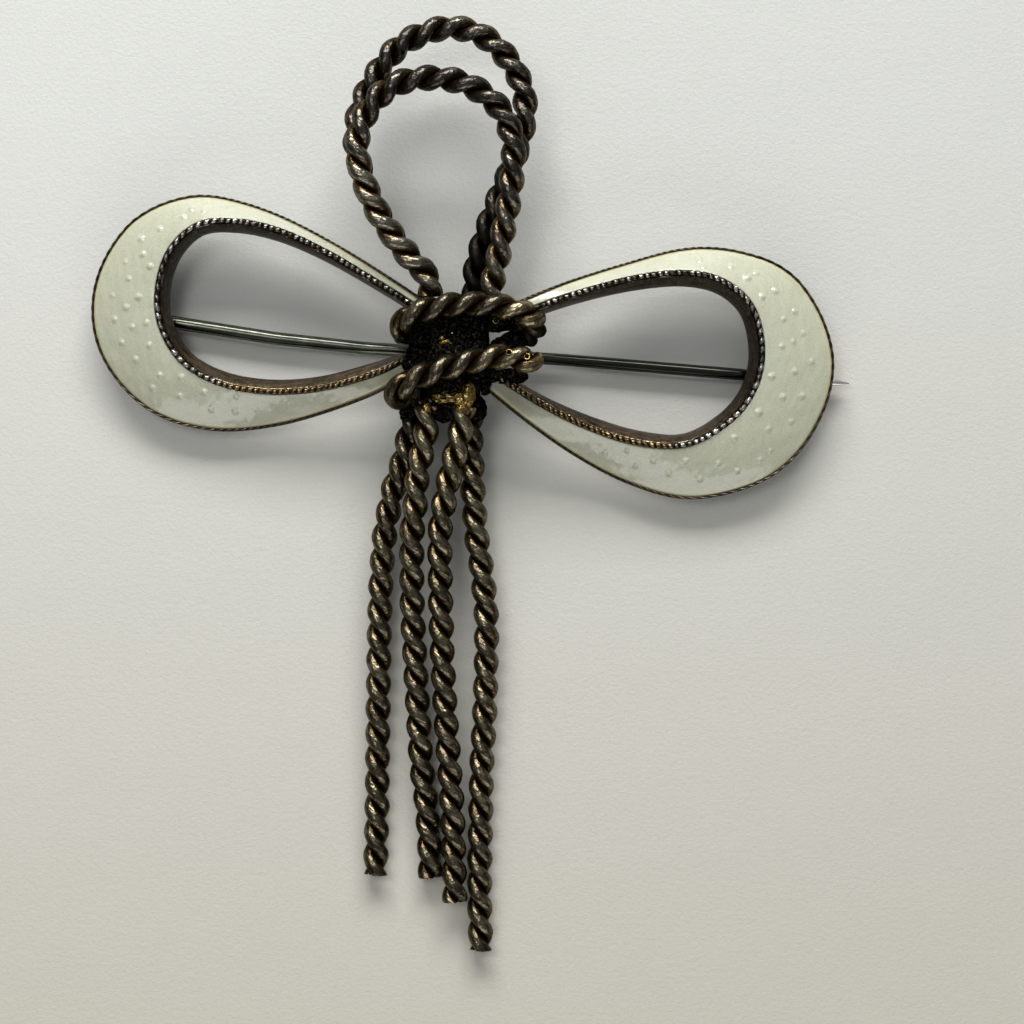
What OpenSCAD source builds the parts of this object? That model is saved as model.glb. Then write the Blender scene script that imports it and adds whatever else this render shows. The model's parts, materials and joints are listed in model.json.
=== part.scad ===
// Bow brooch: two enamelled ribbon wings, a knot of twisted wire rope with two rope loops above it
// and four rope tails below, and a hinged pin behind.
// It lies face up on z = 0, the wings reach along X and the tails hang along -Y.

/* [Rope] */
// Diameter of each of the two wires that are twisted into a rope
wire_d = 1.2; // [1:0.05:1.2]
// Length of rope in which the wires go round once
twist_pitch = 4.7; // [4.2:0.1:6]
// Slices of the rope in one turn of its twist
turn_slices = 8; // [6:1:8]

/* [Rope loops] */
// Height of the front loop above the middle of the knot
front_loop_h = 23.8; // [22.6:0.2:24.6]
// Width of the front loop between its wire centres
front_loop_w = 14.4; // [13.6:0.2:15]
// Height of the back loop above the middle of the knot
back_loop_h = 28.9; // [27.7:0.2:30.9]
// Width of the back loop between its wire centres
back_loop_w = 15.8; // [15:0.2:16.6]
// How far the front loop rises from the knot to its crest
front_loop_rise = 3.2; // [2.6:0.1:4]
// How far the back loop rises from the knot to its crest
back_loop_rise = 3.1; // [2:0.1:3.2]

/* [Rope tails] */
// Length of the outer left tail below the knot
tail_1_len = 43.6; // [38:0.2:48]
// Length of the inner left tail below the knot
tail_2_len = 44.7; // [40:0.2:48]
// Length of the inner right tail below the knot
tail_3_len = 46.9; // [42:0.2:50]
// Length of the outer right tail below the knot
tail_4_len = 50.8; // [46:0.2:56]

/* [Wings] */
// Distance from the middle of the knot to the far side of each wing's opening
opening_len = 28.7; // [26:0.1:32]
// Height of the left wing's opening across its beaded rim
left_opening_h = 16; // [14:0.2:18]
// Height of the right wing's opening across its beaded rim
right_opening_h = 17; // [15:0.2:19]
// Greatest width of the left wing's enamelled ribbon
left_ribbon_w = 6.4; // [5.4:0.1:7]
// Greatest width of the right wing's enamelled ribbon
right_ribbon_w = 6.9; // [6:0.1:7.4]
// Angle at which the left wing rises outwards
left_wing_rise = 7; // [5:0.5:9]
// Angle at which the right wing falls outwards
right_wing_fall = 9; // [7:0.5:11]
// Width of the beaded rim round the opening
bead_w = 0.55; // [0.45:0.05:0.65]
// Width of the milled wire round the outer edge
edge_wire_w = 0.33; // [0.25:0.01:0.4]
// Height of the milled wire above the plate beside it
edge_wire_h = 0.45; // [0.4:0.05:0.6]
// Thickness of the plate under the enamel
plate_t = 0.55; // [0.4:0.05:0.7]
// Thickness of the wall inside the opening
wall_t = 0.45; // [0.35:0.05:0.6]
// Height of the wall inside the opening at the broad end
wall_h = 2; // [1.6:0.1:2.4]
// How far the wall leans into the opening
wall_lean = 0.95; // [0.7:0.05:1.1]
// How much lower the outer edge lies than the beaded rim at the broad end
ribbon_fall = 2.3; // [1.8:0.1:2.6]
// How much more it falls where the ribbon's limbs turn on edge
limb_fall = 3.2; // [2.4:0.1:3.4]
// How much the upper limb lies higher than the lower one, for the opening's whole height
wing_roll = 2; // [1.6:0.1:2.2]

/* [Enamel] */
// Thickness of the enamel
enamel_t = 0.4; // [0.3:0.05:0.4]
// Height of the enamel's crown over a straight line between its rims
enamel_crown = 0.3; // [0.15:0.05:0.4]
// Gap between the enamel and the metal round it
enamel_gap = 0.04; // [0.03:0.01:0.06]

/* [Knot] */
// Width of the soldered core
core_w = 5.8; // [5.2:0.1:6]
// Height of the top of the core
core_top = 7.4; // [7:0.1:7.4]
// Thickness of the core
core_t = 2.85; // [2.4:0.05:2.9]
// Corner radius of the core
core_round = 0.8; // [0.5:0.1:1]

/* [Pin] */
// Diameter of the pin stem where it carries the cloth
stem_d = 1.15; // [1.05:0.05:1.2]
// Diameter of the pin stem beside the hinge
stem_root_d = 1.3; // [1.25:0.05:1.35]
// Diameter of the pin stem where it passes through the catch
stem_end_d = 0.8; // [0.7:0.02:0.84]
// Length of the stretch beside the hinge
stem_near_len = 13; // [12:0.1:14]
// Length of the gently bowed stretch that follows it
stem_bow_len = 8.6; // [7.6:0.1:9.6]
// Length of the straight stretch that carries the cloth
stem_far_len = 17.5; // [16.5:0.1:18]
// Length over which the stem narrows after that
stem_taper_len = 1.6; // [1.2:0.1:2]
// Length of the thin end that lies in the catch
stem_end_len = 6.6; // [6.4:0.1:8]
// Length of the point
stem_point_len = 1.9; // [1.5:0.1:3]
// Diameter of the blunted tip
stem_tip_d = 0.12; // [0.1:0.01:0.2]
// Slope of the stretch beside the hinge
stem_near_slope = 8.9; // [8.4:0.1:9.4]
// Slope of the bowed stretch
stem_bow_slope = 6.2; // [5.6:0.1:6.8]
// Slope of the stretch behind the knot
stem_mid_slope = 3.3; // [3:0.1:3.4]
// Slope of the stretch that carries the cloth
stem_far_slope = 4.8; // [4.7:0.05:5]

/* [Hinge and catch] */
// Height of the stem's axis over the surface that the brooch lies on
stem_z = 1.3; // [1.2:0.05:1.3]
// Diameter of the rivet
rivet_d = 0.8; // [0.6:0.05:0.9]
// Radial clearance of the stem's eye on the rivet
rivet_clear = 0.05; // [0.02:0.01:0.08]
// Diameter of the eye at the end of the stem
eye_d = 2.2; // [1.9:0.1:2.3]
// Gap between the eye and each cheek
cheek_gap = 0.08; // [0.05:0.01:0.15]
// Thickness of each cheek
cheek_t = 0.5; // [0.4:0.05:0.7]
// Thickness of the plates that hold the hinge and the catch
foot_t = 0.5; // [0.4:0.05:0.6]
// Gap between those plates and the wing
foot_gap = 0.2; // [0.15:0.01:0.3]
// Bore of the catch round the stem
catch_bore = 1.5; // [1.4:0.05:1.6]
// Width of the catch's mouth
catch_mouth = 0.96; // [0.92:0.02:1.1]
// Length of the catch along the stem
catch_len = 2.6; // [2:0.1:3]
// How far past the stretch that carries the cloth the catch's middle sits
catch_past_cloth = 3.7; // [3:0.1:4.5]

/* [Hidden] */

$fn = 48;
eps = 0.01;
rope_d = 2 * wire_d;

// Heights of the rope layers at the knot
front_foot_z = 6.22;
back_foot_z = 3.8;
wrap_on_core = 0.1;
wrap_on_stem = 0.14;
wrap_front_z = core_top + wrap_on_core + rope_d / 2;
wrap_back_z = stem_z + stem_d / 2 + wrap_on_stem + rope_d / 2;

// Height of the beaded rim beside the knot and at the broad end
rim_z_knot = 6.4;
rim_z_broad = 5.6;
// Shares of the opening's length where the limbs start to turn on edge and stand fully so
edge_from = 0.22;
edge_to = 0.6;
// Share of the wall's height that is left beside the knot
wall_share_knot = 0.78;
// How far the plate's outer edge hangs below its underside
plate_lip = 0.1;

// The front loop from its left foot to its right foot. Columns: across as a share of the width,
// up as a share of the height, rise as a share of the loop's rise
front_loop_route = [
    [-0.176, 0.165, 0], [-0.2, 0.235, 0.12], [-0.325, 0.32, 0.36], [-0.455, 0.42, 0.6],
    [-0.56, 0.535, 0.76], [-0.62, 0.64, 0.87], [-0.64, 0.735, 0.93], [-0.6, 0.83, 0.97],
    [-0.505, 0.915, 0.99], [-0.375, 0.968, 1], [-0.22, 0.988, 1], [-0.06, 0.984, 1],
    [0.085, 0.958, 1], [0.215, 0.906, 0.98], [0.312, 0.833, 0.96], [0.36, 0.72, 0.91],
    [0.352, 0.61, 0.82], [0.33, 0.51, 0.71], [0.296, 0.407, 0.56], [0.262, 0.3, 0.34],
    [0.232, 0.225, 0.12], [0.226, 0.165, 0]];

// The back loop, with the same columns
back_loop_route = [
    [-0.168, 0.135, 0], [-0.187, 0.202, 0.12], [-0.31, 0.272, 0.36], [-0.423, 0.357, 0.58],
    [-0.517, 0.45, 0.72], [-0.571, 0.533, 0.8], [-0.6, 0.606, 0.84], [-0.602, 0.669, 0.88],
    [-0.578, 0.73, 0.91], [-0.523, 0.8, 0.94], [-0.444, 0.87, 0.97], [-0.336, 0.935, 1],
    [-0.2, 0.973, 1], [-0.05, 0.992, 1], [0.1, 0.977, 1], [0.216, 0.938, 0.99],
    [0.314, 0.878, 0.97], [0.38, 0.804, 0.95], [0.4, 0.73, 0.92], [0.38, 0.659, 0.87],
    [0.335, 0.571, 0.81], [0.282, 0.502, 0.73], [0.225, 0.425, 0.64], [0.168, 0.341, 0.52],
    [0.125, 0.265, 0.36], [0.101, 0.209, 0.16], [0.094, 0.135, 0]];

// The four tails. Columns: millimetres to the right of the knot's middle, length down from the
// knot's foot as a share of the tail's length, height in millimetres
tail_1_route = [
    [-4.1, 0, 4.05], [-4.65, 0.04, 3.8], [-5.3, 0.1, 3.6], [-6, 0.145, 3.4], [-6.55, 0.2, 3.2],
    [-6.95, 0.25, 3], [-7.2, 0.305, 2.8], [-7.45, 0.41, 2.5], [-7.6, 0.555, 2.1],
    [-7.7, 0.7, 1.75], [-7.8, 0.855, 1.45], [-7.95, 1, 1.25]];
tail_2_route = [
    [-2.85, 0, 6.3], [-3, 0.06, 6.1], [-3.5, 0.113, 5.8], [-3.85, 0.158, 5.4], [-4.05, 0.215, 5.1],
    [-4.3, 0.26, 4.8], [-4.35, 0.315, 4.4], [-4.35, 0.415, 3.8], [-4.05, 0.555, 3],
    [-3.55, 0.75, 2.1], [-3.05, 0.85, 1.6], [-2.8, 0.93, 1.38], [-2.7, 1, 1.25]];
tail_3_route = [
    [0.6, 0, 6.3], [0.4, 0.028, 6.2], [0.2, 0.055, 6.05], [-0.15, 0.087, 5.85], [-0.7, 0.13, 5.6],
    [-1.2, 0.183, 5.3], [-1.6, 0.23, 5], [-1.7, 0.285, 4.6], [-1.65, 0.395, 4],
    [-1.45, 0.53, 3.3], [-1, 0.69, 2.7], [-0.6, 0.81, 2.4], [-0.35, 1, 2.15]];
tail_4_route = [
    [1.2, 0, 4], [1.2, 0.05, 3.8], [1.3, 0.1, 3.6], [1.4, 0.145, 3.4], [1.55, 0.187, 3.2],
    [1.8, 0.235, 3.05], [2.15, 0.277, 2.9], [2.4, 0.32, 2.7], [2.6, 0.36, 2.6], [2.65, 0.43, 2.4],
    [2.45, 0.56, 2.05], [2.2, 0.65, 1.8], [2.1, 0.74, 1.55], [2, 0.83, 1.4], [2, 0.92, 1.3],
    [2.1, 1, 1.25]];
tail_top_front = -6.55;
tail_top_back = -7.4;

// The wrap, from its lower right end over the front, behind the core and over the front again.
// Columns: right and up from the knot's middle in millimetres, and the share of the way from the
// back layer to the front layer
wrap_route = [
    [7, -2.4, 0.85], [6.4, -2.4, 0.98], [5.4, -2.2, 1], [4, -2.1, 1], [2.3, -2.3, 1],
    [0.55, -2.7, 1], [-1.2, -3.15, 1], [-2.7, -3.65, 1], [-4.1, -4.2, 1],
    [-5.2, -4.85, 0.94], [-5.7, -5.5, 0.74], [-5.55, -5.8, 0.4], [-4.75, -5.45, 0.12],
    [-3.55, -4.85, 0], [-1.75, -3.95, 0], [0.9, -2.75, 0], [3.2, -1.65, 0], [5, -0.55, 0],
    [6.3, 0.1, 0.1], [7.05, 0.6, 0.38], [7.15, 1.2, 0.7], [6.7, 1.7, 0.93], [5.8, 2.1, 1],
    [4.5, 2.45, 1], [2.4, 2.75, 1], [0.3, 2.75, 1], [-1.85, 2.5, 1], [-3.6, 2, 0.98],
    [-4.8, 1.4, 0.85], [-5.2, 0.7, 0.58], [-4.9, 0.1, 0.28]];

// Ribbon sections from the knot round the opening and back. Columns: along the wing as a share of
// the opening's length, across it as a share of the opening's height, ribbon width as a share of
// its greatest width, lean of the wall as a share of its greatest lean
left_sections = [
    [0.145, 0.155, 0.12, 0.3], [0.232, 0.231, 0.13, 0.3], [0.433, 0.392, 0.155, 0.45],
    [0.613, 0.495, 0.21, 0.6], [0.767, 0.52, 0.315, 0.65], [0.89, 0.468, 0.485, 0.6],
    [0.973, 0.298, 0.755, 0.7], [1, 0.063, 0.95, 0.7], [0.976, -0.156, 0.99, 0.75],
    [0.892, -0.35, 0.87, 0.85], [0.758, -0.455, 0.675, 1], [0.592, -0.469, 0.47, 1],
    [0.418, -0.412, 0.31, 1], [0.254, -0.294, 0.235, 0.9], [0.16, -0.19, 0.13, 0.6]];
right_sections = [
    [0.122, 0.108, 0.13, 0.3], [0.202, 0.203, 0.145, 0.4], [0.348, 0.34, 0.175, 0.55],
    [0.523, 0.47, 0.225, 0.75], [0.697, 0.551, 0.34, 0.9], [0.836, 0.531, 0.495, 0.85],
    [0.944, 0.405, 0.77, 0.85], [0.998, 0.167, 0.98, 0.85], [0.987, -0.059, 0.985, 0.85],
    [0.92, -0.247, 0.925, 0.85], [0.8, -0.4, 0.73, 0.85], [0.645, -0.438, 0.54, 1],
    [0.47, -0.397, 0.395, 0.9], [0.3, -0.31, 0.285, 0.6], [0.135, -0.19, 0.2, 0.35]];
// Stations between two ribbon sections
section_steps = 3;

function unit(v) = v / norm(v);
function mix(a, b, t) = a + (b - a) * t;
function last(v) = v[len(v) - 1];

// A smooth curve through points, with n steps from each point to the next
function curve_at(a, b, c, d, t) =
    0.5 * (2 * b + (c - a) * t + (2 * a - 5 * b + 4 * c - d) * t * t
           + (3 * b - a - 3 * c + d) * t * t * t);
function curve(points, n) = [
    for (i = [0:len(points) - 2], k = [0:n - 1])
        curve_at(points[max(i - 1, 0)], points[i], points[i + 1],
                 points[min(i + 2, len(points) - 1)], k / n),
    last(points)];

// Running length along a list of points
function lengths(points) = [
    for (i = 0, s = 0; i < len(points);
         i = i + 1, s = i < len(points) ? s + norm(points[i] - points[i - 1]) : s) s];

// Triangles between rings of m points, with a flat cap at each end
function skin_faces(rings, m) = concat(
    [for (i = [0:rings - 2], j = [0:m - 1]) [i * m + j, (i + 1) * m + j, (i + 1) * m + (j + 1) % m]],
    [for (i = [0:rings - 2], j = [0:m - 1]) [i * m + j, (i + 1) * m + (j + 1) % m, i * m + (j + 1) % m]],
    [[for (j = [0:m - 1]) j]],
    [[for (j = [m - 1:-1:0]) (rings - 1) * m + j]]);

// Two round wires side by side, as one outline. The circle is drawn through its sides' middles
lobe_turns = [-130, -65, 0, 65, 130];
rope_outline = [
    for (side = [1, -1], a = lobe_turns)
        side * wire_d / 2 * [1 + cos(a), sin(a)]];

// A two-wire rope along a route. Across is a direction that the route never follows
module rope(route, across) {
    fine = curve(route, 8);
    run = lengths(fine);
    total = last(run);
    count = ceil(total / twist_pitch * turn_slices);
    keys = [for (k = [0:2]) [for (i = [0:len(fine) - 1]) [run[i], fine[i][k]]]];
    function place(s) = [for (k = [0:2]) lookup(s, keys[k])];
    reach = twist_pitch / turn_slices / 2;
    rings = [
        for (i = [0:count])
            let (s = total * i / count,
                 along = unit(place(min(s + reach, total)) - place(max(s - reach, 0))),
                 n = unit(cross(across, along)),
                 b = cross(along, n),
                 turn = -360 * s / twist_pitch)
                [for (q = rope_outline)
                    place(s) + n * (q.x * cos(turn) - q.y * sin(turn))
                             + b * (q.x * sin(turn) + q.y * cos(turn))]];
    m = len(rope_outline);
    polyhedron([for (r = rings) each r], skin_faces(count + 1, m), convexity = 10);
}

function loop_route(table, w, h, foot_z, rise) = [for (r = table) [r.x * w, r.y * h, foot_z + r.z * rise]];
function tail_route(table, top, len_down) = [for (r = table) [r.x, top - r.y * len_down, r.z]];
front_loop_line = loop_route(front_loop_route, front_loop_w, front_loop_h, front_foot_z, front_loop_rise);
back_loop_line = loop_route(back_loop_route, back_loop_w, back_loop_h, back_foot_z, back_loop_rise);
wrap_line = [for (r = wrap_route) [r.x, r.y, mix(wrap_back_z, wrap_front_z, r.z)]];

// Ribbon stations [along, across, width, lean of the wall] in millimetres
function stations(table, opening_h, ribbon_w) =
    curve([for (r = table) [r.x * opening_len, r.y * opening_h, r.z * ribbon_w, r[3] * wall_lean]],
          section_steps);
function outward(st, i) =
    let (a = st[max(i - 1, 0)], b = st[min(i + 1, len(st) - 1)], t = unit([b.x - a.x, b.y - a.y]))
        [-t.y, t.x];
// How far a ribbon has turned on edge, from 0 beside the knot to 1
function turned_up(along) =
    let (t = max(0, min(1, (along / opening_len - edge_from) / (edge_to - edge_from))))
        t * t * (3 - 2 * t);
// Rim height, and the fall of the ribbon at distance q outwards from the rim
function rim_z(s, opening_h) = mix(rim_z_knot, rim_z_broad, min(s.x / opening_len, 1))
    + wing_roll * s.y / opening_h * turned_up(s.x);
function fall(q, s, ribbon_w) =
    let (f = s.z / ribbon_w) (ribbon_fall * f + limb_fall * (1 - f) * turned_up(s.x)) * q / s.z;

// Places in the wing's own plane turned to the brooch. Side is -1 on the left and 1 on the right
function wing_place(along, across, z, side, tilt) = [
    side * (along * cos(tilt) - across * sin(tilt)), along * sin(tilt) + across * cos(tilt), z];

// The metal's section as [distance outwards from the rim, height]
function metal_section(s, opening_h, ribbon_w) =
    let (top = rim_z(s, opening_h), w = s.z, low = top - fall(w, s, ribbon_w), f = w / ribbon_w,
         deep = wall_h * mix(wall_share_knot, 1, min(s.x / opening_len, 1)),
         bed = enamel_t + 2 * enamel_gap, rise = fall(edge_wire_w, s, ribbon_w))
        [[w, low - plate_t - plate_lip], [w, low + edge_wire_h - enamel_t],
         [w - edge_wire_w, low + edge_wire_h - enamel_t + rise], [w - edge_wire_w, low - bed + rise],
         [w / 2, (top + low) / 2 - bed + enamel_crown * f],
         [0, top - bed], [0, top], [-bead_w, top],
         [-bead_w - s[3], top - deep], [-bead_w - s[3] + wall_t, top - deep],
         [0, top - bed - plate_t], [w / 2, (top + low) / 2 - bed - plate_t + enamel_crown * f]];

function enamel_section(s, opening_h, ribbon_w) =
    let (top = rim_z(s, opening_h), w = s.z, low = top - fall(w, s, ribbon_w), f = w / ribbon_w,
         bed = enamel_t + 2 * enamel_gap, near = enamel_gap, far = w - edge_wire_w - enamel_gap,
         rise = fall(edge_wire_w + enamel_gap, s, ribbon_w),
         lift = enamel_gap * norm([1, fall(1, s, ribbon_w)]))
        [[far, low - bed + lift + rise],
         [w / 2, (top + low) / 2 - bed + lift + enamel_crown * f],
         [near, top - bed + lift], [near, top - 2 * enamel_gap],
         [w / 2, (top + low) / 2 - 2 * enamel_gap + enamel_crown * f],
         [far, low - 2 * enamel_gap + rise]];

// The metal's outline runs one way round and the enamel's the other, so that their shared bed is split
// into the same triangles. Facing is side for the metal and -side for the enamel
module ribbon(st, sections, side, tilt, facing) {
    m = len(sections[0]);
    points = [
        for (i = [0:len(st) - 1], q = sections[i])
            let (o = outward(st, i))
                wing_place(st[i].x + q.x * o.x, st[i].y + q.x * o.y, q.y, side, tilt)];
    faces = skin_faces(len(st), m);
    turned = facing > 0 ? faces : [for (f = faces) [for (k = [len(f) - 1:-1:0]) f[k]]];
    polyhedron(points, turned, convexity = 10);
}

left_stations = stations(left_sections, left_opening_h, left_ribbon_w);
right_stations = stations(right_sections, right_opening_h, right_ribbon_w);

// Hinge and catch, under the broad end of each wing's ribbon. Beyond the opening, and across the wing
hinge_beyond = 1.65;
hinge_across = -1.57;
catch_beyond = 2.35;
catch_across = 1.2;
hinge_spot = wing_place(opening_len + hinge_beyond, hinge_across, stem_z, -1, left_wing_rise);
catch_spot = wing_place(opening_len + catch_beyond, catch_across, stem_z, 1, -right_wing_fall);

// The stem's four stretches, from the hinge to the end of the one that carries the cloth. The third one,
// behind the knot, is as long as it takes to reach the catch
stem_slopes = [stem_near_slope, stem_bow_slope, stem_mid_slope, stem_far_slope];
stem_mid_len = (catch_spot.x - hinge_spot.x - stem_near_len * cos(stem_near_slope)
    - stem_bow_len * cos(stem_bow_slope)
    - (stem_far_len + catch_past_cloth) * cos(stem_far_slope)) / cos(stem_mid_slope);
stem_lens = [stem_near_len, stem_bow_len, stem_mid_len, stem_far_len];
function stretch_start(k) =
    k == 0 ? [0, 0, 0]
    : stretch_start(k - 1) + stem_lens[k - 1] * [cos(stem_slopes[k - 1]), -sin(stem_slopes[k - 1]), 0];
cloth = 3;

// The brooch's middle, from the left wing's edge, the pin's tip, the back loop and the longest tail
left_edge = min([for (i = [0:len(left_stations) - 1])
    let (s = left_stations[i], o = outward(left_stations, i))
        wing_place(s.x + s.z * o.x, s.y + s.z * o.y, 0, -1, left_wing_rise).x]);
stem_past_cloth = stem_taper_len + stem_end_len + stem_point_len;
tip_x = hinge_spot.x + stretch_start(cloth).x + (stem_far_len + stem_past_cloth) * cos(stem_far_slope);
top_edge = max([for (p = back_loop_line) p.y]) + rope_d / 2;
low_edge = min(tail_top_back - tail_1_len, tail_top_front - tail_2_len,
               tail_top_front - tail_3_len, tail_top_back - tail_4_len);
middle = [(left_edge + tip_x) / 2, (top_edge + low_edge) / 2, 0];

module placed() {
    translate(-middle) children();
}

left_metal = [for (s = left_stations) metal_section(s, left_opening_h, left_ribbon_w)];
left_glass = [for (s = left_stations) enamel_section(s, left_opening_h, left_ribbon_w)];
right_metal = [for (s = right_stations) metal_section(s, right_opening_h, right_ribbon_w)];
right_glass = [for (s = right_stations) enamel_section(s, right_opening_h, right_ribbon_w)];

module left_wing() {
    color("#6b5a3c") placed() ribbon(left_stations, left_metal, -1, left_wing_rise, -1);
}

module left_enamel() {
    color("#dfe3cf") placed() ribbon(left_stations, left_glass, -1, left_wing_rise, 1);
}

module right_wing() {
    color("#6b5a3c") placed() ribbon(right_stations, right_metal, 1, -right_wing_fall, 1);
}

module right_enamel() {
    color("#dfe3cf") placed() ribbon(right_stations, right_glass, 1, -right_wing_fall, -1);
}

module loop_front() {
    color("#7d7365") placed() rope(front_loop_line, [0, 0, 1]);
}

module loop_back() {
    color("#6f6558") placed() rope(back_loop_line, [0, 0, 1]);
}

module tail_1() {
    color("#74664a") placed() rope(tail_route(tail_1_route, tail_top_back, tail_1_len), [0, 0, 1]);
}

module tail_2() {
    color("#7d6f50") placed() rope(tail_route(tail_2_route, tail_top_front, tail_2_len), [0, 0, 1]);
}

module tail_3() {
    color("#7d6f50") placed() rope(tail_route(tail_3_route, tail_top_front, tail_3_len), [0, 0, 1]);
}

module tail_4() {
    color("#74664a") placed() rope(tail_route(tail_4_route, tail_top_back, tail_4_len), [0, 0, 1]);
}

module knot_wrap() {
    color("#8a7a58") placed() rope(wrap_line, [0, 1, 0]);
}

// Balls at the corners of a block between two opposite corners
module corner_balls(low, high) {
    r = core_round;
    for (x = [low.x + r, high.x - r], y = [low.y + r, high.y - r], z = [low.z + r, high.z - r])
        translate([x, y, z]) sphere(r, $fn = 12);
}

// The core reaches from body_low to body_high. Its foot, which holds the tails, is narrower and shallower
module knot_core() {
    body_low = -4.3;
    body_high = 3.45;
    foot_low = -6.25;
    foot_high = -4;
    foot_inset = 1;
    foot_rise = 0.85;
    color("#2b2621") placed() hull() {
        corner_balls([-core_w / 2, body_low, core_top - core_t], [core_w / 2, body_high, core_top]);
        corner_balls([-core_w / 2, foot_low, core_top - core_t + foot_rise],
                     [core_w / 2 - foot_inset, foot_high, core_top]);
    }
}

// The inner half of the plate's underside at the broad end: its height at a distance beyond the rim
// and a place across the wing, and its slopes along and across the wing
function underside(q, across, opening_h, ribbon_w) =
    rim_z_broad - enamel_t - 2 * enamel_gap - plate_t
    - q * tan(plate_slope(ribbon_w)) + across * tan(roll_slope(opening_h));
function plate_slope(ribbon_w) = atan((ribbon_fall - 2 * enamel_crown) / ribbon_w);
function roll_slope(opening_h) = atan(wing_roll / opening_h);
// The hinge's foot is sloped, so its middle lies a little further out than the hinge
hinge_foot_out = 0.35;
hinge_top = underside(hinge_beyond + hinge_foot_out, hinge_across, left_opening_h, left_ribbon_w)
    - foot_gap;
catch_top = underside(catch_beyond, catch_across, right_opening_h, right_ribbon_w) - foot_gap;

// At the start of one of the stem's stretches, with X along it. The first one starts at the hinge
module at_stretch(k) {
    placed() translate(hinge_spot + stretch_start(k)) rotate([0, 0, -stem_slopes[k]]) children();
}

eye_rim = 0.1;
eye_w = stem_root_d + eye_rim;
cheek_in = eye_w / 2 + cheek_gap;
cheek_out = cheek_in + cheek_t;

module hinge_bracket() {
    rivet_head = 0.15;
    foot_len = 3.4;
    foot_side = 0.3;
    cheek_inset = 0.1;
    top = hinge_top - stem_z;
    color("#8d8d86") at_stretch(0) {
        for (y = [cheek_in, -cheek_out]) {
            translate([0, y, 0]) rotate([-90, 0, 0]) cylinder(r = stem_z, h = cheek_t);
            translate([-stem_z + cheek_inset, y, 0])
                cube([2 * (stem_z - cheek_inset), cheek_t, top - foot_t / 2]);
        }
        translate([0, -cheek_out - rivet_head, 0]) rotate([-90, 0, 0])
            cylinder(d = rivet_d, h = 2 * (cheek_out + rivet_head));
        translate([0, 0, top]) rotate([roll_slope(left_opening_h), -plate_slope(left_ribbon_w), 0])
            translate([-foot_len / 2, -cheek_out - foot_side, -foot_t])
                cube([foot_len, 2 * (cheek_out + foot_side), foot_t]);
    }
}

// Each stretch of the stem is a little thinner than the one before it and starts just inside it
module stretch(k) {
    tuck = 0.2;
    at_stretch(k) translate([-tuck, 0, 0]) rotate([0, 90, 0])
        cylinder(d = mix(stem_root_d, stem_d, k / cloth), h = stem_lens[k] + tuck);
}

module pin_stem() {
    color("#a9abac") {
        difference() {
            union() {
                at_stretch(0) translate([0, -eye_w / 2, 0]) rotate([-90, 0, 0])
                    cylinder(d = eye_d, h = eye_w);
                stretch(0);
            }
            at_stretch(0) translate([0, -eye_w / 2 - eps, 0]) rotate([-90, 0, 0])
                cylinder(r = rivet_d / 2 + rivet_clear, h = eye_w + 2 * eps);
        }
        for (k = [1:cloth])
            stretch(k);
        at_stretch(cloth) rotate([0, 90, 0]) translate([0, 0, stem_far_len]) {
            cylinder(d1 = stem_d, d2 = stem_end_d, h = stem_taper_len);
            translate([0, 0, stem_taper_len]) {
                cylinder(d = stem_end_d, h = stem_end_len);
                translate([0, 0, stem_end_len])
                    cylinder(d1 = stem_end_d, d2 = stem_tip_d, h = stem_point_len);
            }
        }
    }
}

module catch() {
    foot_len = 2.6;
    foot_w = 3.6;
    post_w = 1.4;
    top = catch_top - stem_z;
    color("#8d8d86") at_stretch(cloth)
        translate([stem_far_len + catch_past_cloth, 0, 0]) {
            difference() {
                union() {
                    translate([-catch_len / 2, 0, 0]) rotate([0, 90, 0]) cylinder(r = stem_z, h = catch_len);
                    translate([-catch_len / 2, -post_w / 2, 0]) cube([catch_len, post_w, top - foot_t / 2]);
                }
                translate([-catch_len / 2 - eps, 0, 0]) rotate([0, 90, 0])
                    cylinder(d = catch_bore, h = catch_len + 2 * eps);
                translate([-catch_len / 2 - eps, -catch_mouth / 2, -stem_z - eps])
                    cube([catch_len + 2 * eps, catch_mouth, stem_z]);
            }
            translate([0, 0, top]) rotate([roll_slope(right_opening_h), plate_slope(right_ribbon_w), 0])
                translate([-foot_len / 2, -foot_w / 2, -foot_t]) cube([foot_len, foot_w, foot_t]);
        }
}

left_wing();
left_enamel();
right_wing();
right_enamel();
loop_front();
loop_back();
tail_1();
tail_2();
tail_3();
tail_4();
knot_wrap();
knot_core();
hinge_bracket();
pin_stem();
catch();
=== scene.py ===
"""The looks of the bow brooch: twisted wire ropes, enamelled ribbon wings, a soldered knot and a steel pin."""
import json
import math

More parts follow.
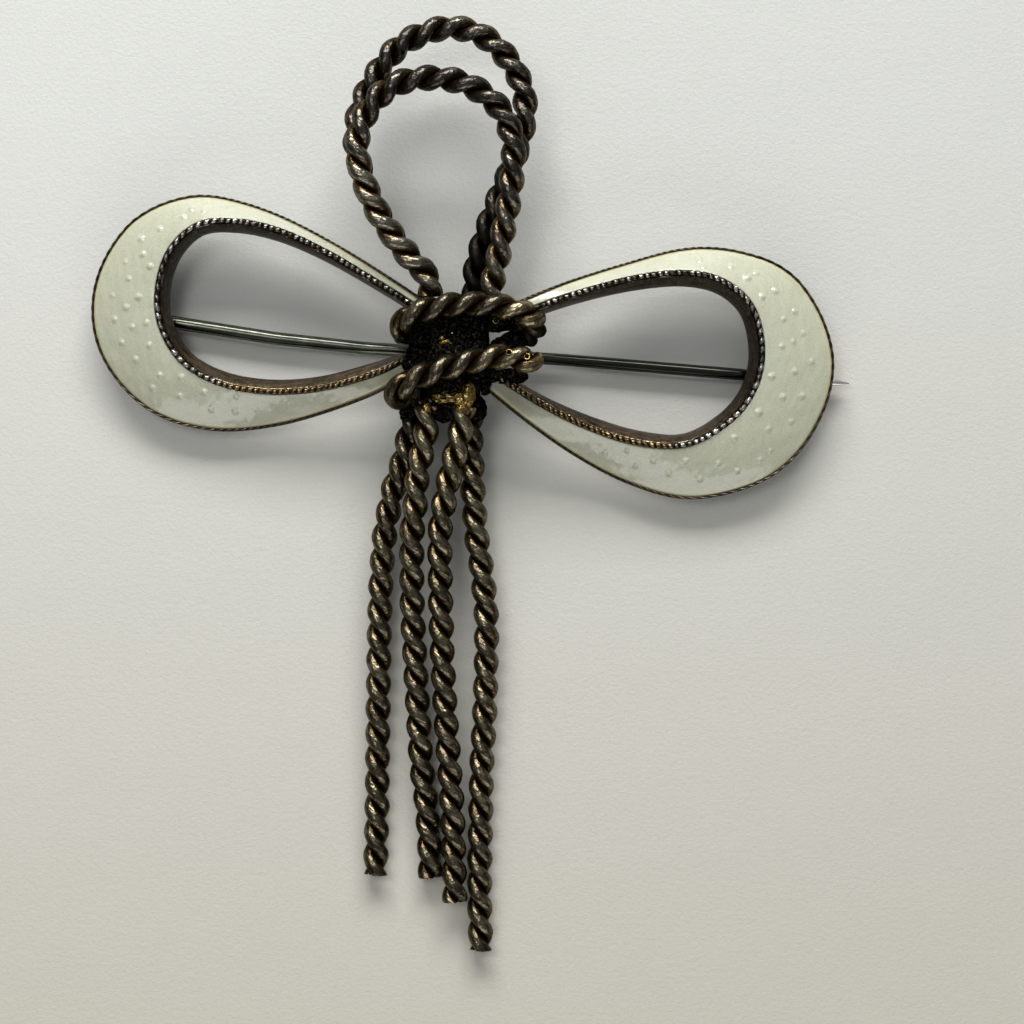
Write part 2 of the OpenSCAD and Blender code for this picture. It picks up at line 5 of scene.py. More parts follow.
import bpy
import numpy as np
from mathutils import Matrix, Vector


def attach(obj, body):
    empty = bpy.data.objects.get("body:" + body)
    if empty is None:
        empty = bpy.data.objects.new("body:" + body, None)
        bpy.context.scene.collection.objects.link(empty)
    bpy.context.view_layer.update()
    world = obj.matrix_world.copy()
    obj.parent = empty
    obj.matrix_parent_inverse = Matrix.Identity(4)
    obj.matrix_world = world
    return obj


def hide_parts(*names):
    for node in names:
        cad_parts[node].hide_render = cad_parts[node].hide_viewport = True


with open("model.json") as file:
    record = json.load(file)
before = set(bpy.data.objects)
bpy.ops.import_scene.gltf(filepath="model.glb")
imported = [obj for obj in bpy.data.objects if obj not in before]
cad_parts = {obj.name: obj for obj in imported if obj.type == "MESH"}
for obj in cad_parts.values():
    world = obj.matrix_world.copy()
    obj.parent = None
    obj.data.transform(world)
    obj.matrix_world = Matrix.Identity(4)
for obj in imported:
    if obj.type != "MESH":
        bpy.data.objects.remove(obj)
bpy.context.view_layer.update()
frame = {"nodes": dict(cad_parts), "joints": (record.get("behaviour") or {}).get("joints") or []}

MM = 0.001
BODY = "brooch"
PIN_BODY = "pin"

# The hinge's place seen from the middle of the knot, in millimetres, gives the knot's place in the frame
HINGE_FROM_KNOT = np.array([-30.3151, 2.1404])
hinge_mm = np.array(frame["joints"][0]["pos_m"]) / MM
KNOT = np.array([*(hinge_mm[:2] - HINGE_FROM_KNOT), 0.0])
STEM_Z = hinge_mm[2]

# The photograph's camera: straight above the table, this high, with this many millimetres a pixel there
CAMERA_HEIGHT = 230.0
TABLE_MM_A_PIXEL = 0.096
IMAGE_MIDDLE = 512.0
CAMERA_FROM_KNOT = np.array([5.07, -16.43])

# Ropes: how far each wire's middle is from the rope's, its radius, and the length of a whole turn
WIRE_OUT = 0.58
WIRE_R = 0.64
TWIST_PITCH = 4.7
RING_STEP = 0.15
WIRE_SIDES = 26
ROPE_SPLINE_STEPS = 24
# Wear on the wires: depth as a share and wavelength of dents and scuffs, and the most that they add
DENT, DENT_WAVE = 0.016, 1.5
SCUFF, SCUFF_WAVE = 0.008, 0.45
MOST_SWELL = 1.008
# Streaks along the wires: how slowly they change, and how far apart the two wires are in their noise
STREAK_STEP = 0.14
WIRES_APART = 10
ROPE_SEEDS = {"loop_front": 11, "loop_back": 12, "tail_1": 20, "tail_2": 21, "tail_3": 22, "tail_4": 23,
              "knot_wrap": 30}

# Loops: width, height, height of the feet and rise to the crest
FRONT_LOOP = dict(w=14.4, h=23.8, foot=6.22, rise=3.2)
BACK_LOOP = dict(w=15.8, h=28.9, foot=3.8, rise=3.1)
TAIL_LEN = {"tail_1": 43.6, "tail_2": 44.7, "tail_3": 46.9, "tail_4": 50.8}
TAIL_TOP = {"tail_1": -7.4, "tail_2": -6.55, "tail_3": -6.55, "tail_4": -7.4}
WRAP_BACK_Z = 3.215
WRAP_FRONT_Z = 8.7

# Rope routes with the same columns as the frame's own: across, up and rise, as shares
FRONT_LOOP_ROUTE = [
    (-0.176, 0.165, 0), (-0.2, 0.235, 0.12), (-0.325, 0.32, 0.36), (-0.455, 0.42, 0.6),
    (-0.56, 0.535, 0.76), (-0.62, 0.64, 0.87), (-0.64, 0.735, 0.93), (-0.6, 0.83, 0.97),
    (-0.505, 0.915, 0.99), (-0.375, 0.968, 1), (-0.22, 0.988, 1), (-0.06, 0.984, 1),
    (0.085, 0.958, 1), (0.215, 0.906, 0.98), (0.312, 0.833, 0.96), (0.36, 0.72, 0.91),
    (0.352, 0.61, 0.82), (0.33, 0.51, 0.71), (0.296, 0.407, 0.56), (0.262, 0.3, 0.34),
    (0.232, 0.225, 0.12), (0.226, 0.165, 0)]
BACK_LOOP_ROUTE = [
    (-0.168, 0.135, 0), (-0.187, 0.202, 0.12), (-0.31, 0.272, 0.36), (-0.423, 0.357, 0.58),
    (-0.517, 0.45, 0.72), (-0.571, 0.533, 0.8), (-0.6, 0.606, 0.84), (-0.602, 0.669, 0.88),
    (-0.578, 0.73, 0.91), (-0.523, 0.8, 0.94), (-0.444, 0.87, 0.97), (-0.336, 0.935, 1),
    (-0.2, 0.973, 1), (-0.05, 0.992, 1), (0.1, 0.977, 1), (0.216, 0.938, 0.99),
    (0.314, 0.878, 0.97), (0.38, 0.804, 0.95), (0.4, 0.73, 0.92), (0.38, 0.659, 0.87),
    (0.335, 0.571, 0.81), (0.282, 0.502, 0.73), (0.225, 0.425, 0.64), (0.168, 0.341, 0.52),
    (0.125, 0.265, 0.36), (0.101, 0.209, 0.16), (0.094, 0.135, 0)]
# Tails: millimetres to the right, share of the length down, height in millimetres
TAIL_ROUTES = {
    "tail_1": [
        (-4.1, 0, 4.05), (-4.65, 0.04, 3.8), (-5.3, 0.1, 3.6), (-6, 0.145, 3.4), (-6.55, 0.2, 3.2),
        (-6.95, 0.25, 3), (-7.2, 0.305, 2.8), (-7.45, 0.41, 2.5), (-7.6, 0.555, 2.1),
        (-7.7, 0.7, 1.75), (-7.8, 0.855, 1.45), (-7.95, 1, 1.25)],
    "tail_2": [
        (-2.85, 0, 6.3), (-3, 0.06, 6.1), (-3.5, 0.113, 5.8), (-3.85, 0.158, 5.4), (-4.05, 0.215, 5.1),
        (-4.3, 0.26, 4.8), (-4.35, 0.315, 4.4), (-4.35, 0.415, 3.8), (-4.05, 0.555, 3),
        (-3.55, 0.75, 2.1), (-3.05, 0.85, 1.6), (-2.8, 0.93, 1.38), (-2.7, 1, 1.25)],
    "tail_3": [
        (0.6, 0, 6.3), (0.4, 0.028, 6.2), (0.2, 0.055, 6.05), (-0.15, 0.087, 5.85), (-0.7, 0.13, 5.6),
        (-1.2, 0.183, 5.3), (-1.6, 0.23, 5), (-1.7, 0.285, 4.6), (-1.65, 0.395, 4),
        (-1.45, 0.53, 3.3), (-1, 0.69, 2.7), (-0.6, 0.81, 2.4), (-0.35, 1, 2.15)],
    "tail_4": [
        (1.2, 0, 4), (1.2, 0.05, 3.8), (1.3, 0.1, 3.6), (1.4, 0.145, 3.4), (1.55, 0.187, 3.2),
        (1.8, 0.235, 3.05), (2.15, 0.277, 2.9), (2.4, 0.32, 2.7), (2.6, 0.36, 2.6), (2.65, 0.43, 2.4),
        (2.45, 0.56, 2.05), (2.2, 0.65, 1.8), (2.1, 0.74, 1.55), (2, 0.83, 1.4), (2, 0.92, 1.3),
        (2.1, 1, 1.25)],
}
# The wrap: millimetres right and up, and the share of the way from the back layer to the front layer
WRAP_ROUTE = [
    (7, -2.4, 0.85), (6.4, -2.4, 0.98), (5.4, -2.2, 1), (4, -2.1, 1), (2.3, -2.3, 1),
    (0.55, -2.7, 1), (-1.2, -3.15, 1), (-2.7, -3.65, 1), (-4.1, -4.2, 1),
    (-5.2, -4.85, 0.94), (-5.7, -5.5, 0.74), (-5.55, -5.8, 0.4), (-4.75, -5.45, 0.12),
    (-3.55, -4.85, 0), (-1.75, -3.95, 0), (0.9, -2.75, 0), (3.2, -1.65, 0), (5, -0.55, 0),
    (6.3, 0.1, 0.1), (7.05, 0.6, 0.38), (7.15, 1.2, 0.7), (6.7, 1.7, 0.93), (5.8, 2.1, 1),
    (4.5, 2.45, 1), (2.4, 2.75, 1), (0.3, 2.75, 1), (-1.85, 2.5, 1), (-3.6, 2, 0.98),
    (-4.8, 1.4, 0.85), (-5.2, 0.7, 0.58), (-4.9, 0.1, 0.28)]

# How golden and how black a rope is along its run: share of the run, gold, black
# The black column is partly tarnish and partly painted shade, full where a rope runs under or behind other parts
TONES = {
    "loop_front": [(0, 1, 0.1), (0.1, 0.95, 0), (0.28, 0.75, 0), (0.36, 0.35, 0.2), (0.55, 0.2, 0.3),
                   (0.75, 0.35, 0.2), (0.88, 0.55, 0.1), (0.96, 0.85, 0), (1, 0.9, 0.1)],
    "loop_back": [(0, 0.4, 0.6), (0.15, 0.3, 0.35), (0.4, 0.2, 0.3), (0.58, 0.4, 0.15), (0.72, 0.3, 0.35),
                  (0.84, 0.2, 0.6), (0.9, 0, 0.9), (1, 0, 1)],
    "tail_1": [(0, 0.3, 0.7), (0.07, 0.5, 0.2), (0.5, 0.5, 0.1), (1, 0.45, 0.2)],
    "tail_2": [(0, 0.95, 0), (0.12, 0.8, 0), (0.25, 0.55, 0.1), (1, 0.45, 0.15)],
    "tail_3": [(0, 1, 0), (0.12, 0.9, 0), (0.25, 0.55, 0.1), (1, 0.45, 0.15)],
    "tail_4": [(0, 0.4, 0.6), (0.1, 0.5, 0.15), (0.5, 0.55, 0.1), (1, 0.45, 0.2)],
    "knot_wrap": [(0, 0.8, 0), (0.08, 0.55, 0), (0.16, 0.15, 0), (0.27, 0.3, 0.05), (0.33, 0.6, 0.1),
                  (0.39, 0.2, 0.7), (0.42, 0, 1), (0.655, 0, 1), (0.68, 0.6, 0.3), (0.71, 0.8, 0),
                  (0.76, 0.3, 0), (0.9, 0.15, 0.05), (0.95, 0.5, 0), (1, 0.3, 0.7)],
}

# Wings, as in the frame, in millimetres. The columns of their sections are place along and across the
# opening, ribbon width and lean of the wall, as shares
OPENING_LEN = 28.7
RIM_Z_KNOT, RIM_Z_BROAD = 6.4, 5.6
WALL_SHARE_KNOT = 0.78
WALL_H, WALL_LEAN, WALL_T = 2.0, 0.95, 0.45
RIBBON_FALL, LIMB_FALL, WING_ROLL = 2.3, 3.2, 2.0
EDGE_FROM, EDGE_TO = 0.22, 0.6
BEAD_W = 0.55
EDGE_WIRE_W = 0.24
PLATE_T = 0.55
ENAMEL_T, ENAMEL_CROWN, ENAMEL_GAP = 0.4, 0.3, 0.04
WING_SPLINE_STEPS = 60
# Steps along the rim for the plate, the beads and the enamel, and the brushing's along the ribbon
PLATE_STEP, BEAD_STEP, ENAMEL_STEP = 0.2, 0.055, 0.105
PLATE_BRUSHING, ENAMEL_BRUSHING = 0.12, 0.1
LEFT_WING = dict(side=-1, tilt=7.0, opening_h=16.0, ribbon_w=6.4, bead_pitch=0.95, sections=[
    (0.145, 0.155, 0.12, 0.3), (0.232, 0.231, 0.13, 0.3), (0.433, 0.392, 0.155, 0.45),
    (0.613, 0.495, 0.21, 0.6), (0.767, 0.52, 0.315, 0.65), (0.89, 0.468, 0.485, 0.6),
    (0.973, 0.298, 0.755, 0.7), (1, 0.063, 0.95, 0.7), (0.976, -0.156, 0.99, 0.75),
    (0.892, -0.35, 0.87, 0.85), (0.758, -0.455, 0.675, 1), (0.592, -0.469, 0.47, 1),
    (0.418, -0.412, 0.31, 1), (0.254, -0.294, 0.235, 0.9), (0.16, -0.19, 0.13, 0.6)])
RIGHT_WING = dict(side=1, tilt=-9.0, opening_h=17.0, ribbon_w=6.9, bead_pitch=0.85, sections=[
    (0.122, 0.108, 0.13, 0.3), (0.202, 0.203, 0.145, 0.4), (0.348, 0.34, 0.175, 0.55),
    (0.523, 0.47, 0.225, 0.75), (0.697, 0.551, 0.34, 0.9), (0.836, 0.531, 0.495, 0.85),
    (0.944, 0.405, 0.77, 0.85), (0.998, 0.167, 0.98, 0.85), (0.987, -0.059, 0.985, 0.85),
    (0.92, -0.247, 0.925, 0.85), (0.8, -0.4, 0.73, 0.85), (0.645, -0.438, 0.54, 1),
    (0.47, -0.397, 0.395, 0.9), (0.3, -0.31, 0.285, 0.6), (0.135, -0.19, 0.2, 0.35)])

# The enamel's raised dots, read off two enlarged crops of the photograph: the crop's corner in pixels, its
# enlargement, and each dot's place in it
LEFT_DOTS = dict(corner=(80, 180), zoom=4.356, spots=[
    (350, 215), (265, 255), (275, 325), (195, 355), (210, 430), (310, 380), (135, 500), (255, 510),
    (200, 555), (145, 605), (290, 625), (225, 640), (175, 705), (300, 720), (238, 780), (345, 850),
    (440, 860), (310, 905), (430, 940), (540, 925), (565, 1000), (680, 945), (670, 1005), (770, 1000),
    (885, 965), (1010, 950), (455, 165), (490, 125), (545, 135), (635, 118)])
RIGHT_DOTS = dict(corner=(460, 230), zoom=3.92, spots=[
    (820, 132), (740, 150), (935, 118), (950, 148), (1060, 145), (1125, 190), (1160, 170), (1235, 240),
    (1180, 265), (1310, 320), (1265, 352), (1345, 405), (1305, 437), (1258, 458), (1380, 515),
    (1312, 555), (1220, 575), (1265, 655), (1345, 650), (1170, 715), (1300, 750), (1210, 780),
    (1075, 815), (1220, 865), (1180, 900), (1090, 945), (1015, 915), (885, 905), (945, 975),
    (820, 955), (760, 905), (690, 925), (655, 865), (570, 870)])
DOT_R, DOT_H = 0.37, 0.15
DOT_SIZES = (0.78, 1.15)
DOT_SEED = 7
DOTS_UNDER_RIM = 0.8

# Solder lumps, in millimetres from the knot: place, radii, seed, roughness, wavelength, squareness, rings
# In the core's table many black lumps under and between the ropes are partly solder, partly painted shade
CORE_AND_SHADE_LUMPS = [
    ((0, -0.3, 5.95), (2.88, 3.7, 1.42), 60, 0.09, 0.8, 4.2, 84),
    ((-0.35, -4.6, 6.1), (2.5, 1.65, 1.15), 61, 0.08, 0.8, 3.4, 56),
    ((-3.5, 0.2, 5.9), (1.25, 1.7, 1.15), 62, 0.1, 0.7, 2.6, 44),
    ((-3.7, -1.6, 5.8), (1.05, 1.05, 1.05), 63, 0.1, 0.6, 2.4, 36),
    ((-4.35, -2.5, 5.9), (0.9, 0.85, 0.95), 58, 0.1, 0.6, 2.4, 36),
    ((2.6, -4.5, 5.9), (0.45, 1.0, 0.85), 59, 0.08, 0.6, 2.6, 36),
    ((3.15, 1.3, 6.4), (2.2, 0.95, 0.8), 64, 0.09, 0.6, 2.4, 44),
    ((4.3, -3.75, 5.75), (2.3, 0.75, 0.75), 65, 0.1, 0.6, 2.4, 44),
    ((2.6, -3.3, 6.0), (1.0, 1.0, 0.9), 66, 0.1, 0.6, 2.4, 36),
    ((-4.55, -6.9, 4.6), (0.95, 1.15, 0.95), 67, 0.1, 0.6, 2.4, 36),
    ((5.3, -0.35, 5.4), (1.3, 0.75, 0.9), 57, 0.08, 0.6, 2.3, 36),
    ((4.5, -0.75, 5.3), (1.35, 0.75, 0.9), 55, 0.08, 0.6, 2.2, 36),
    ((5.5, 0.75, 5.6), (0.85, 0.5, 0.8), 56, 0.08, 0.6, 2.2, 30),
    ((1.75, -6.7, 4.6), (0.9, 1.2, 0.95), 68, 0.1, 0.6, 2.4, 36),
    ((-1.2, -6.85, 5.9), (1.3, 1.1, 0.85), 69, 0.1, 0.6, 2.6, 36)]
GLINT_LUMPS = [
    ((-1.15, -0.62, 7.3), (0.55, 0.33, 0.3), 70, 0.04, 0.8, 2.0, 24),
    ((-1.45, -0.28, 7.3), (0.34, 0.3, 0.3), 71, 0.03, 0.7, 2.0, 20),
    ((-0.51, 0.23, 7.36), (0.15, 0.12, 0.1), 72, 0.03, 0.3, 2.0, 12),
    ((-0.6, -0.75, 7.35), (0.16, 0.1, 0.1), 73, 0.03, 0.3, 2.0, 12),
    ((1.53, 0.05, 7.34), (0.2, 0.12, 0.12), 74, 0.04, 0.3, 2.0, 12)]
TAIL_LUMPS = [
    ((-0.8, -5.75, 6.55), (1.75, 0.75, 0.9), 80, 0.07, 0.9, 2.4, 56),
    ((1.0, -5.35, 6.95), (0.75, 1.45, 0.85), 81, 0.04, 1.2, 2.0, 44),
    ((0.2, -5.9, 6.8), (0.9, 0.9, 0.75), 82, 0.07, 0.8, 2.0, 40),
    ((-2.95, -6.85, 6.35), (0.7, 0.85, 0.9), 83, 0.04, 1.0, 2.0, 36),
    ((0.35, -6.85, 6.6), (0.85, 0.8, 0.85), 84, 0.04, 1.0, 2.0, 36)]
SIDES_A_RING = 1.4
# Ring marks: what carries each, millimetres right and up of the knot, and slope towards the loops
RING_MARKS = [("wrap", 4.79, -1.73, -0.25), ("wrap", 6.45, -2.09, -0.25), ("core", 3.58, 1.35, -0.1)]
MARK_R, MARK_WIRE_R = 0.25, 0.07
# Radii of the black disc in each ring's pit, painted shade
PIT_RADII = (0.2, 0.2, 0.06)

# The pin's straight stretches from the hinge to the end of the one that carries the cloth, with their
# slopes in degrees, then taper, end and point
SLOPES = (8.9, 6.2, 3.3, 4.8)
STRETCHES = (13.0, 8.6, 18.68, 17.5)
BEND_HALF = 1.2
TAPER_LEN, END_LEN, POINT_LEN = 1.6, 6.6, 1.9
ROOT_R, STEM_R, END_R, TIP_R = 0.65, 0.575, 0.4, 0.06
EYE_R, EYE_W, BORE_R = 1.1, 1.4, 0.45
EYE_BEVEL, EYE_BEVEL_SHARE = 0.12, 0.86

# Lights: place and size in metres, power in watts, colour
LIGHTS = {
    "window": ((0.0, 0.503, 0.327), (0.5, 0.22), 4.95, (1.0, 0.99, 0.965)),
    "overhead": ((-0.14, 0.1, 0.5), (0.17, 0.17), 0.5, (1.0, 0.99, 0.97)),
    "room_side": ((0.0, -0.55, 0.25), (0.8, 0.3), 1.35, (1.0, 0.985, 0.96)),
}
# The room's own light, by direction: from, to, strength there. The two are multiplied
ROOM_BY_Y = (-0.9, 0.9, 0.38, 0.75)
ROOM_BY_Z = (0.3, 0.92, 0.15, 0.6)
ROOM_COLOUR = (0.95, 0.97, 1.0, 1)
# The table: half its side in metres, and how far it is under the brooch in millimetres
TABLE_HALF = 1.5
TABLE_DROP = 0.02


# Geometry helpers

def spline(points, steps):
    """A Catmull-Rom curve through points, with this many steps from each to the next."""
    p = np.array(points, float)
    out = []
    for i in range(len(p) - 1):
        a, b, c, d = p[max(i - 1, 0)], p[i], p[i + 1], p[min(i + 2, len(p) - 1)]
        for t in np.arange(steps) / steps:
            out.append(0.5 * (2 * b + (c - a) * t + (2 * a - 5 * b + 4 * c - d) * t * t
                              + (3 * b - a - 3 * c + d) * t ** 3))
    out.append(p[-1])
    return np.array(out)


def even(curve, step, columns=3):
    """The curve again at even running lengths, measured along its first columns, and those lengths."""
    run = np.concatenate([[0], np.cumsum(np.linalg.norm(np.diff(curve[:, :columns], axis=0), axis=1))])
    count = max(int(math.ceil(run[-1] / step)), 2)
    s = np.linspace(0, run[-1], count + 1)
    return np.stack([np.interp(s, run, curve[:, k]) for k in range(curve.shape[1])], axis=1), s


def unit(v):
    """Vectors at length 1."""
    return v / np.linalg.norm(v, axis=-1, keepdims=True)


def directions(line):
    """The direction of a line at each of its points."""
    return unit(np.gradient(line, axis=0))


def turns(count):
    """This many even angles round a circle."""
    return np.linspace(0, 2 * math.pi, count, endpoint=False)


def mix(a, b, t):
    """From a at 0 to b at 1."""
    return a + (b - a) * t


def smooth(low, high, x):
    """From 0 at low to 1 at high, with soft ends."""
    t = np.clip((x - low) / (high - low), 0, 1)
    return t * t * (3 - 2 * t)


def waves(points, wavelength, seed):
    """Smooth noise between about -1 and 1, from a fixed set of sine waves in fixed directions."""
    rng = np.random.default_rng(seed)
    total = np.zeros(points.shape[:-1])
    count, shortest, longest = 9, 0.6, 1.5
    for _ in range(count):
        direction = unit(rng.normal(size=3)) * 2 * math.pi / (wavelength * rng.uniform(shortest, longest))
        total += np.sin(points @ direction + rng.uniform(0, 2 * math.pi))
    return total / math.sqrt(count)


def new_object(name, data):
    """An object with this data, in the scene."""
    made = bpy.data.objects.new(name, data)
    bpy.context.scene.collection.objects.link(made)
    return made


class Builder:
    """Collects rings, faces and per-point values for one mesh, in millimetres from the knot."""

    def __init__(self):
        self.points, self.faces, self.values = [], [], {}
        self.count = 0

    def add(self, points, faces, **values):
        assert not self.count or set(values) == set(self.values)
        self.points.append(points)
        self.faces += [tuple(int(k) + self.count for k in f) for f in faces]
        for name, given in values.items():
            self.values.setdefault(name, []).append(given)
        self.count += len(points)

    def skin(self, rings, flip=False, closed=False, **values):
        """A surface through rings of equal length, capped at its ends or joined to itself. Values are arrays
        that fit the rings' shape."""
        n, m = rings.shape[:2]
        faces = []
        for i in range(n if closed else n - 1):
            a, b = i * m, (i + 1) % n * m
            for j in range(m):
                k = (j + 1) % m
                quad = (a + j, a + k, b + k, b + j)
                faces.append(quad[::-1] if flip else quad)
        if not closed:
            start, end = tuple(range(m))[::-1], tuple(range((n - 1) * m, n * m))
            faces += [start[::-1], end[::-1]] if flip else [start, end]
        flat = {}
        for key, value in values.items():
            shape = (n, m, 3)[:max(np.ndim(value), 2)]
            flat[key] = np.broadcast_to(value, shape).reshape(-1, *shape[2:])
        self.add(rings.reshape(-1, 3), faces, **flat)

    def finish(self, name, material, body, replaces=None, slot=None, sharp=45):
        """The piece itself, with edges above the sharp angle kept hard."""
        mesh = bpy.data.meshes.new(name)
        points = (np.concatenate(self.points) + KNOT) * MM
        mesh.from_pydata(points.tolist(), [], self.faces)
        for key, parts in self.values.items():
            column = np.concatenate(parts).astype(np.float32)
            kind, field = ("FLOAT_VECTOR", "vector") if column.ndim == 2 else ("FLOAT", "value")
            mesh.attributes.new(key, kind, "POINT").data.foreach_set(field, column.ravel())
        mesh.validate()
        mesh.shade_smooth()
        mesh.set_sharp_from_angle(angle=math.radians(sharp))
        piece = new_object(name, mesh)
        mesh.materials.append(material)
        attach(piece, body)
        if replaces:
            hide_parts(replaces)
        return piece


# Material helpers

# The colour sockets of a Mix node
MIX_A, MIX_B, MIX_RESULT = 6, 7, 2


class Nodes:
    """A material whose nodes are added by short calls."""

    def __init__(self, name):
        self.material = bpy.data.materials.new(name)
        self.material.use_nodes = True
        self.tree = self.material.node_tree
        self.surface = self.tree.nodes["Principled BSDF"]

    def node(self, kind, inputs=(), **settings):
        made = self.tree.nodes.new(kind)
        for key, value in settings.items():
            setattr(made, key, value)
        for key, value in dict(inputs).items():
            self.put(made.inputs[key], value)
        return made

    def put(self, socket, value):
        if isinstance(value, bpy.types.NodeSocket):
            self.tree.links.new(value, socket)
        else:
            socket.default_value = value

    def set(self, **values):
        for key, value in values.items():
            self.put(self.surface.inputs[key.replace("_", " ")], value)

    def attribute(self, name, output="Fac"):
        return self.node("ShaderNodeAttribute", attribute_name=name).outputs[output]

    def place(self, stretch=(1, 1, 1)):
        """Object coordinates in millimetres, stretched."""
        coordinates = self.node("ShaderNodeTexCoord").outputs["Object"]
        scale = tuple(k / MM for k in stretch)
        return self.node("ShaderNodeMapping", {"Vector": coordinates, "Scale": scale}).outputs["Vector"]

    def noise(self, wavelength, detail=3.0, roughness=0.55, stretch=(1, 1, 1), vector=None):
        where = vector or self.place(stretch)
        return self.node("ShaderNodeTexNoise", {"Vector": where, "Scale": 1 / wavelength, "Detail": detail,
                                                "Roughness": roughness}).outputs["Fac"]

    def ramp(self, fac, low, high, start=0.0, end=1.0):
        """Fac taken from low..high to start..end, clamped."""
        return self.node("ShaderNodeMapRange", {"Value": fac, "From Min": low, "From Max": high,
                                                "To Min": start, "To Max": end}).outputs["Result"]

    def math(self, operation, *values):
        made = self.node("ShaderNodeMath", operation=operation)
        for socket, value in zip(made.inputs, values):
            self.put(socket, value)
        return made.outputs[0]

    def vary(self, value, noise, gain, offset=None):
        """A value with this much noise added, around zero if no offset is given."""
        offset = -gain / 2 if offset is None else offset
        return self.math("ADD", value, self.math("MULTIPLY_ADD", noise, gain, offset))

    def mix(self, fac, a, b):
        made = self.node("ShaderNodeMix", data_type="RGBA")
        self.put(made.inputs["Factor"], fac)
        self.put(made.inputs[MIX_A], rgba(a))
        self.put(made.inputs[MIX_B], rgba(b))
        return made.outputs[MIX_RESULT]

    def bump(self, height, distance, strength=1.0, normal=None):
        inputs = {"Height": height, "Distance": distance * MM, "Strength": strength}
        if normal:
            inputs["Normal"] = normal
        return self.node("ShaderNodeBump", inputs).outputs["Normal"]


def rgba(colour):
    """A colour as a socket or with full opacity."""
    return colour if isinstance(colour, bpy.types.NodeSocket) else (*colour, 1.0)


def rope_material(name, flank, crown, roughness):
    """Oxidised wire: black in the groove, brown to gold on its flanks, dull to pale on its crown, streaked along
    the wire, and blackened where the mesh's dark value says so, partly tarnish and partly painted shade where the
    rope runs under or behind other parts. Flank and crown are each a pair of colours."""
    m = Nodes(name)
    crest = m.attribute("crest")
    wire = m.attribute("wire", "Vector")
    streak = m.noise(0.17, detail=6, roughness=0.72, vector=wire)
    lines = m.noise(0.2, detail=1, roughness=0.5, vector=wire)
    dents = m.noise(0.5, detail=1, roughness=0.5)
    cloud = m.noise(1.3, detail=5, roughness=0.68)
    spots = m.noise(0.42, detail=4, roughness=0.7)
    pale = m.vary(m.attribute("gold"), cloud, 2.6)
    gilt = m.vary(m.attribute("gold"), spots, 2.6, -1.1)
    # Painted shade and tarnish: the mesh's dark value blackens the rope and dims its polish and reflection
    black = m.vary(m.attribute("dark"), cloud, -0.9)
    level = m.vary(crest, streak, 0.9)
    side = m.mix(m.ramp(gilt, 0.2, 0.9), *flank)
    top = m.mix(m.ramp(pale, 0.15, 0.85), *crown)
    base = m.mix(m.ramp(level, 0.74, 0.98), side, top)
    base = m.mix(m.ramp(streak, 0.34, 0.58, 0.85, 0.0), base, (0.012, 0.009, 0.006))
    cracks = m.math("ABSOLUTE", m.math("MULTIPLY_ADD", spots, 2.0, -1.0))
    base = m.mix(m.ramp(cracks, 0.0, 0.045, 0.7, 0.0), base, (0.010, 0.008, 0.006))
    base = m.mix(m.ramp(black, 0.0, 1.0, 0.0, 0.94), base, (0.010, 0.009, 0.008))
    base = m.mix(m.ramp(crest, 0.38, 0.72), (0.003, 0.002, 0.0015), base)
    rough = m.math("ADD", m.ramp(streak, 0.3, 0.7, roughness + 0.12, roughness - 0.06),
                   m.ramp(black, 0.3, 1.0, 0.0, 0.2))
    polish = m.math("MULTIPLY", m.ramp(level, 0.6, 0.95), m.ramp(black, 0.3, 0.9, 0.3, 0.05))
    normal = m.bump(lines, 0.03, 0.9, m.bump(dents, 0.09, 0.9))
    sheen = m.mix(m.ramp(black, 0.3, 0.9), (0.42, 0.39, 0.33), (0.03, 0.03, 0.03))
    m.set(Base_Color=base, Metallic=m.ramp(crest, 0.3, 0.7, 0.7, 0.95), Roughness=rough, Normal=normal,
          Specular_Tint=sheen, Coat_Weight=polish, Coat_Roughness=0.1, Coat_IOR=1.5, Coat_Normal=normal)
    return m.material


def notched_material(name, dark, light, gilt, roughness, start, end):
    """A milled or twisted edge: black in its notches, worn bright on its crests, from start to end, and gilt
    where the mesh says so. On the thin line inside the beads the crest value is a painted highlight."""
    m = Nodes(name)
    cloud = m.noise(2.5, detail=4, roughness=0.6)
    fine = m.noise(0.22, detail=4, roughness=0.7)
    crest = m.vary(m.attribute("crest"), fine, 0.6)
    worn = m.math("MULTIPLY", m.ramp(crest, start, end), m.ramp(cloud, 0.3, 0.6, 0.45, 1.0))
    gold = m.ramp(m.vary(m.attribute("gold"), cloud, 1.4), 0.3, 0.7)
    base = m.mix(worn, m.mix(gold, dark, (0.075, 0.052, 0.026)), m.mix(gold, light, gilt))
    base = m.mix(m.ramp(crest, 0.1, 0.42), (0.006, 0.005, 0.003), base)
    m.set(Base_Color=base, Metallic=0.95, Roughness=m.ramp(fine, 0.3, 0.7, roughness - 0.06, roughness + 0.12),
          Normal=m.bump(m.noise(0.25, detail=1), 0.03, 0.8), Specular_Tint=(0.5, 0.47, 0.4, 1.0),
          Coat_Weight=m.math("MULTIPLY", worn, 0.8), Coat_Roughness=0.12, Coat_IOR=1.6)
    return m.material


def fitting_material():
    """Dull silver with tarnish in clouds."""
    m = Nodes("fitting_silver")
    cloud = m.noise(1.2, detail=5, roughness=0.65)
    fine = m.noise(0.15, detail=3)
    m.set(Base_Color=m.mix(m.ramp(cloud, 0.35, 0.7), (0.08, 0.072, 0.058), (0.36, 0.34, 0.30)), Metallic=1.0,
          Roughness=m.ramp(fine, 0.3, 0.7, 0.3, 0.46), Normal=m.bump(m.noise(0.3, detail=4), 0.02, 0.7))
    return m.material


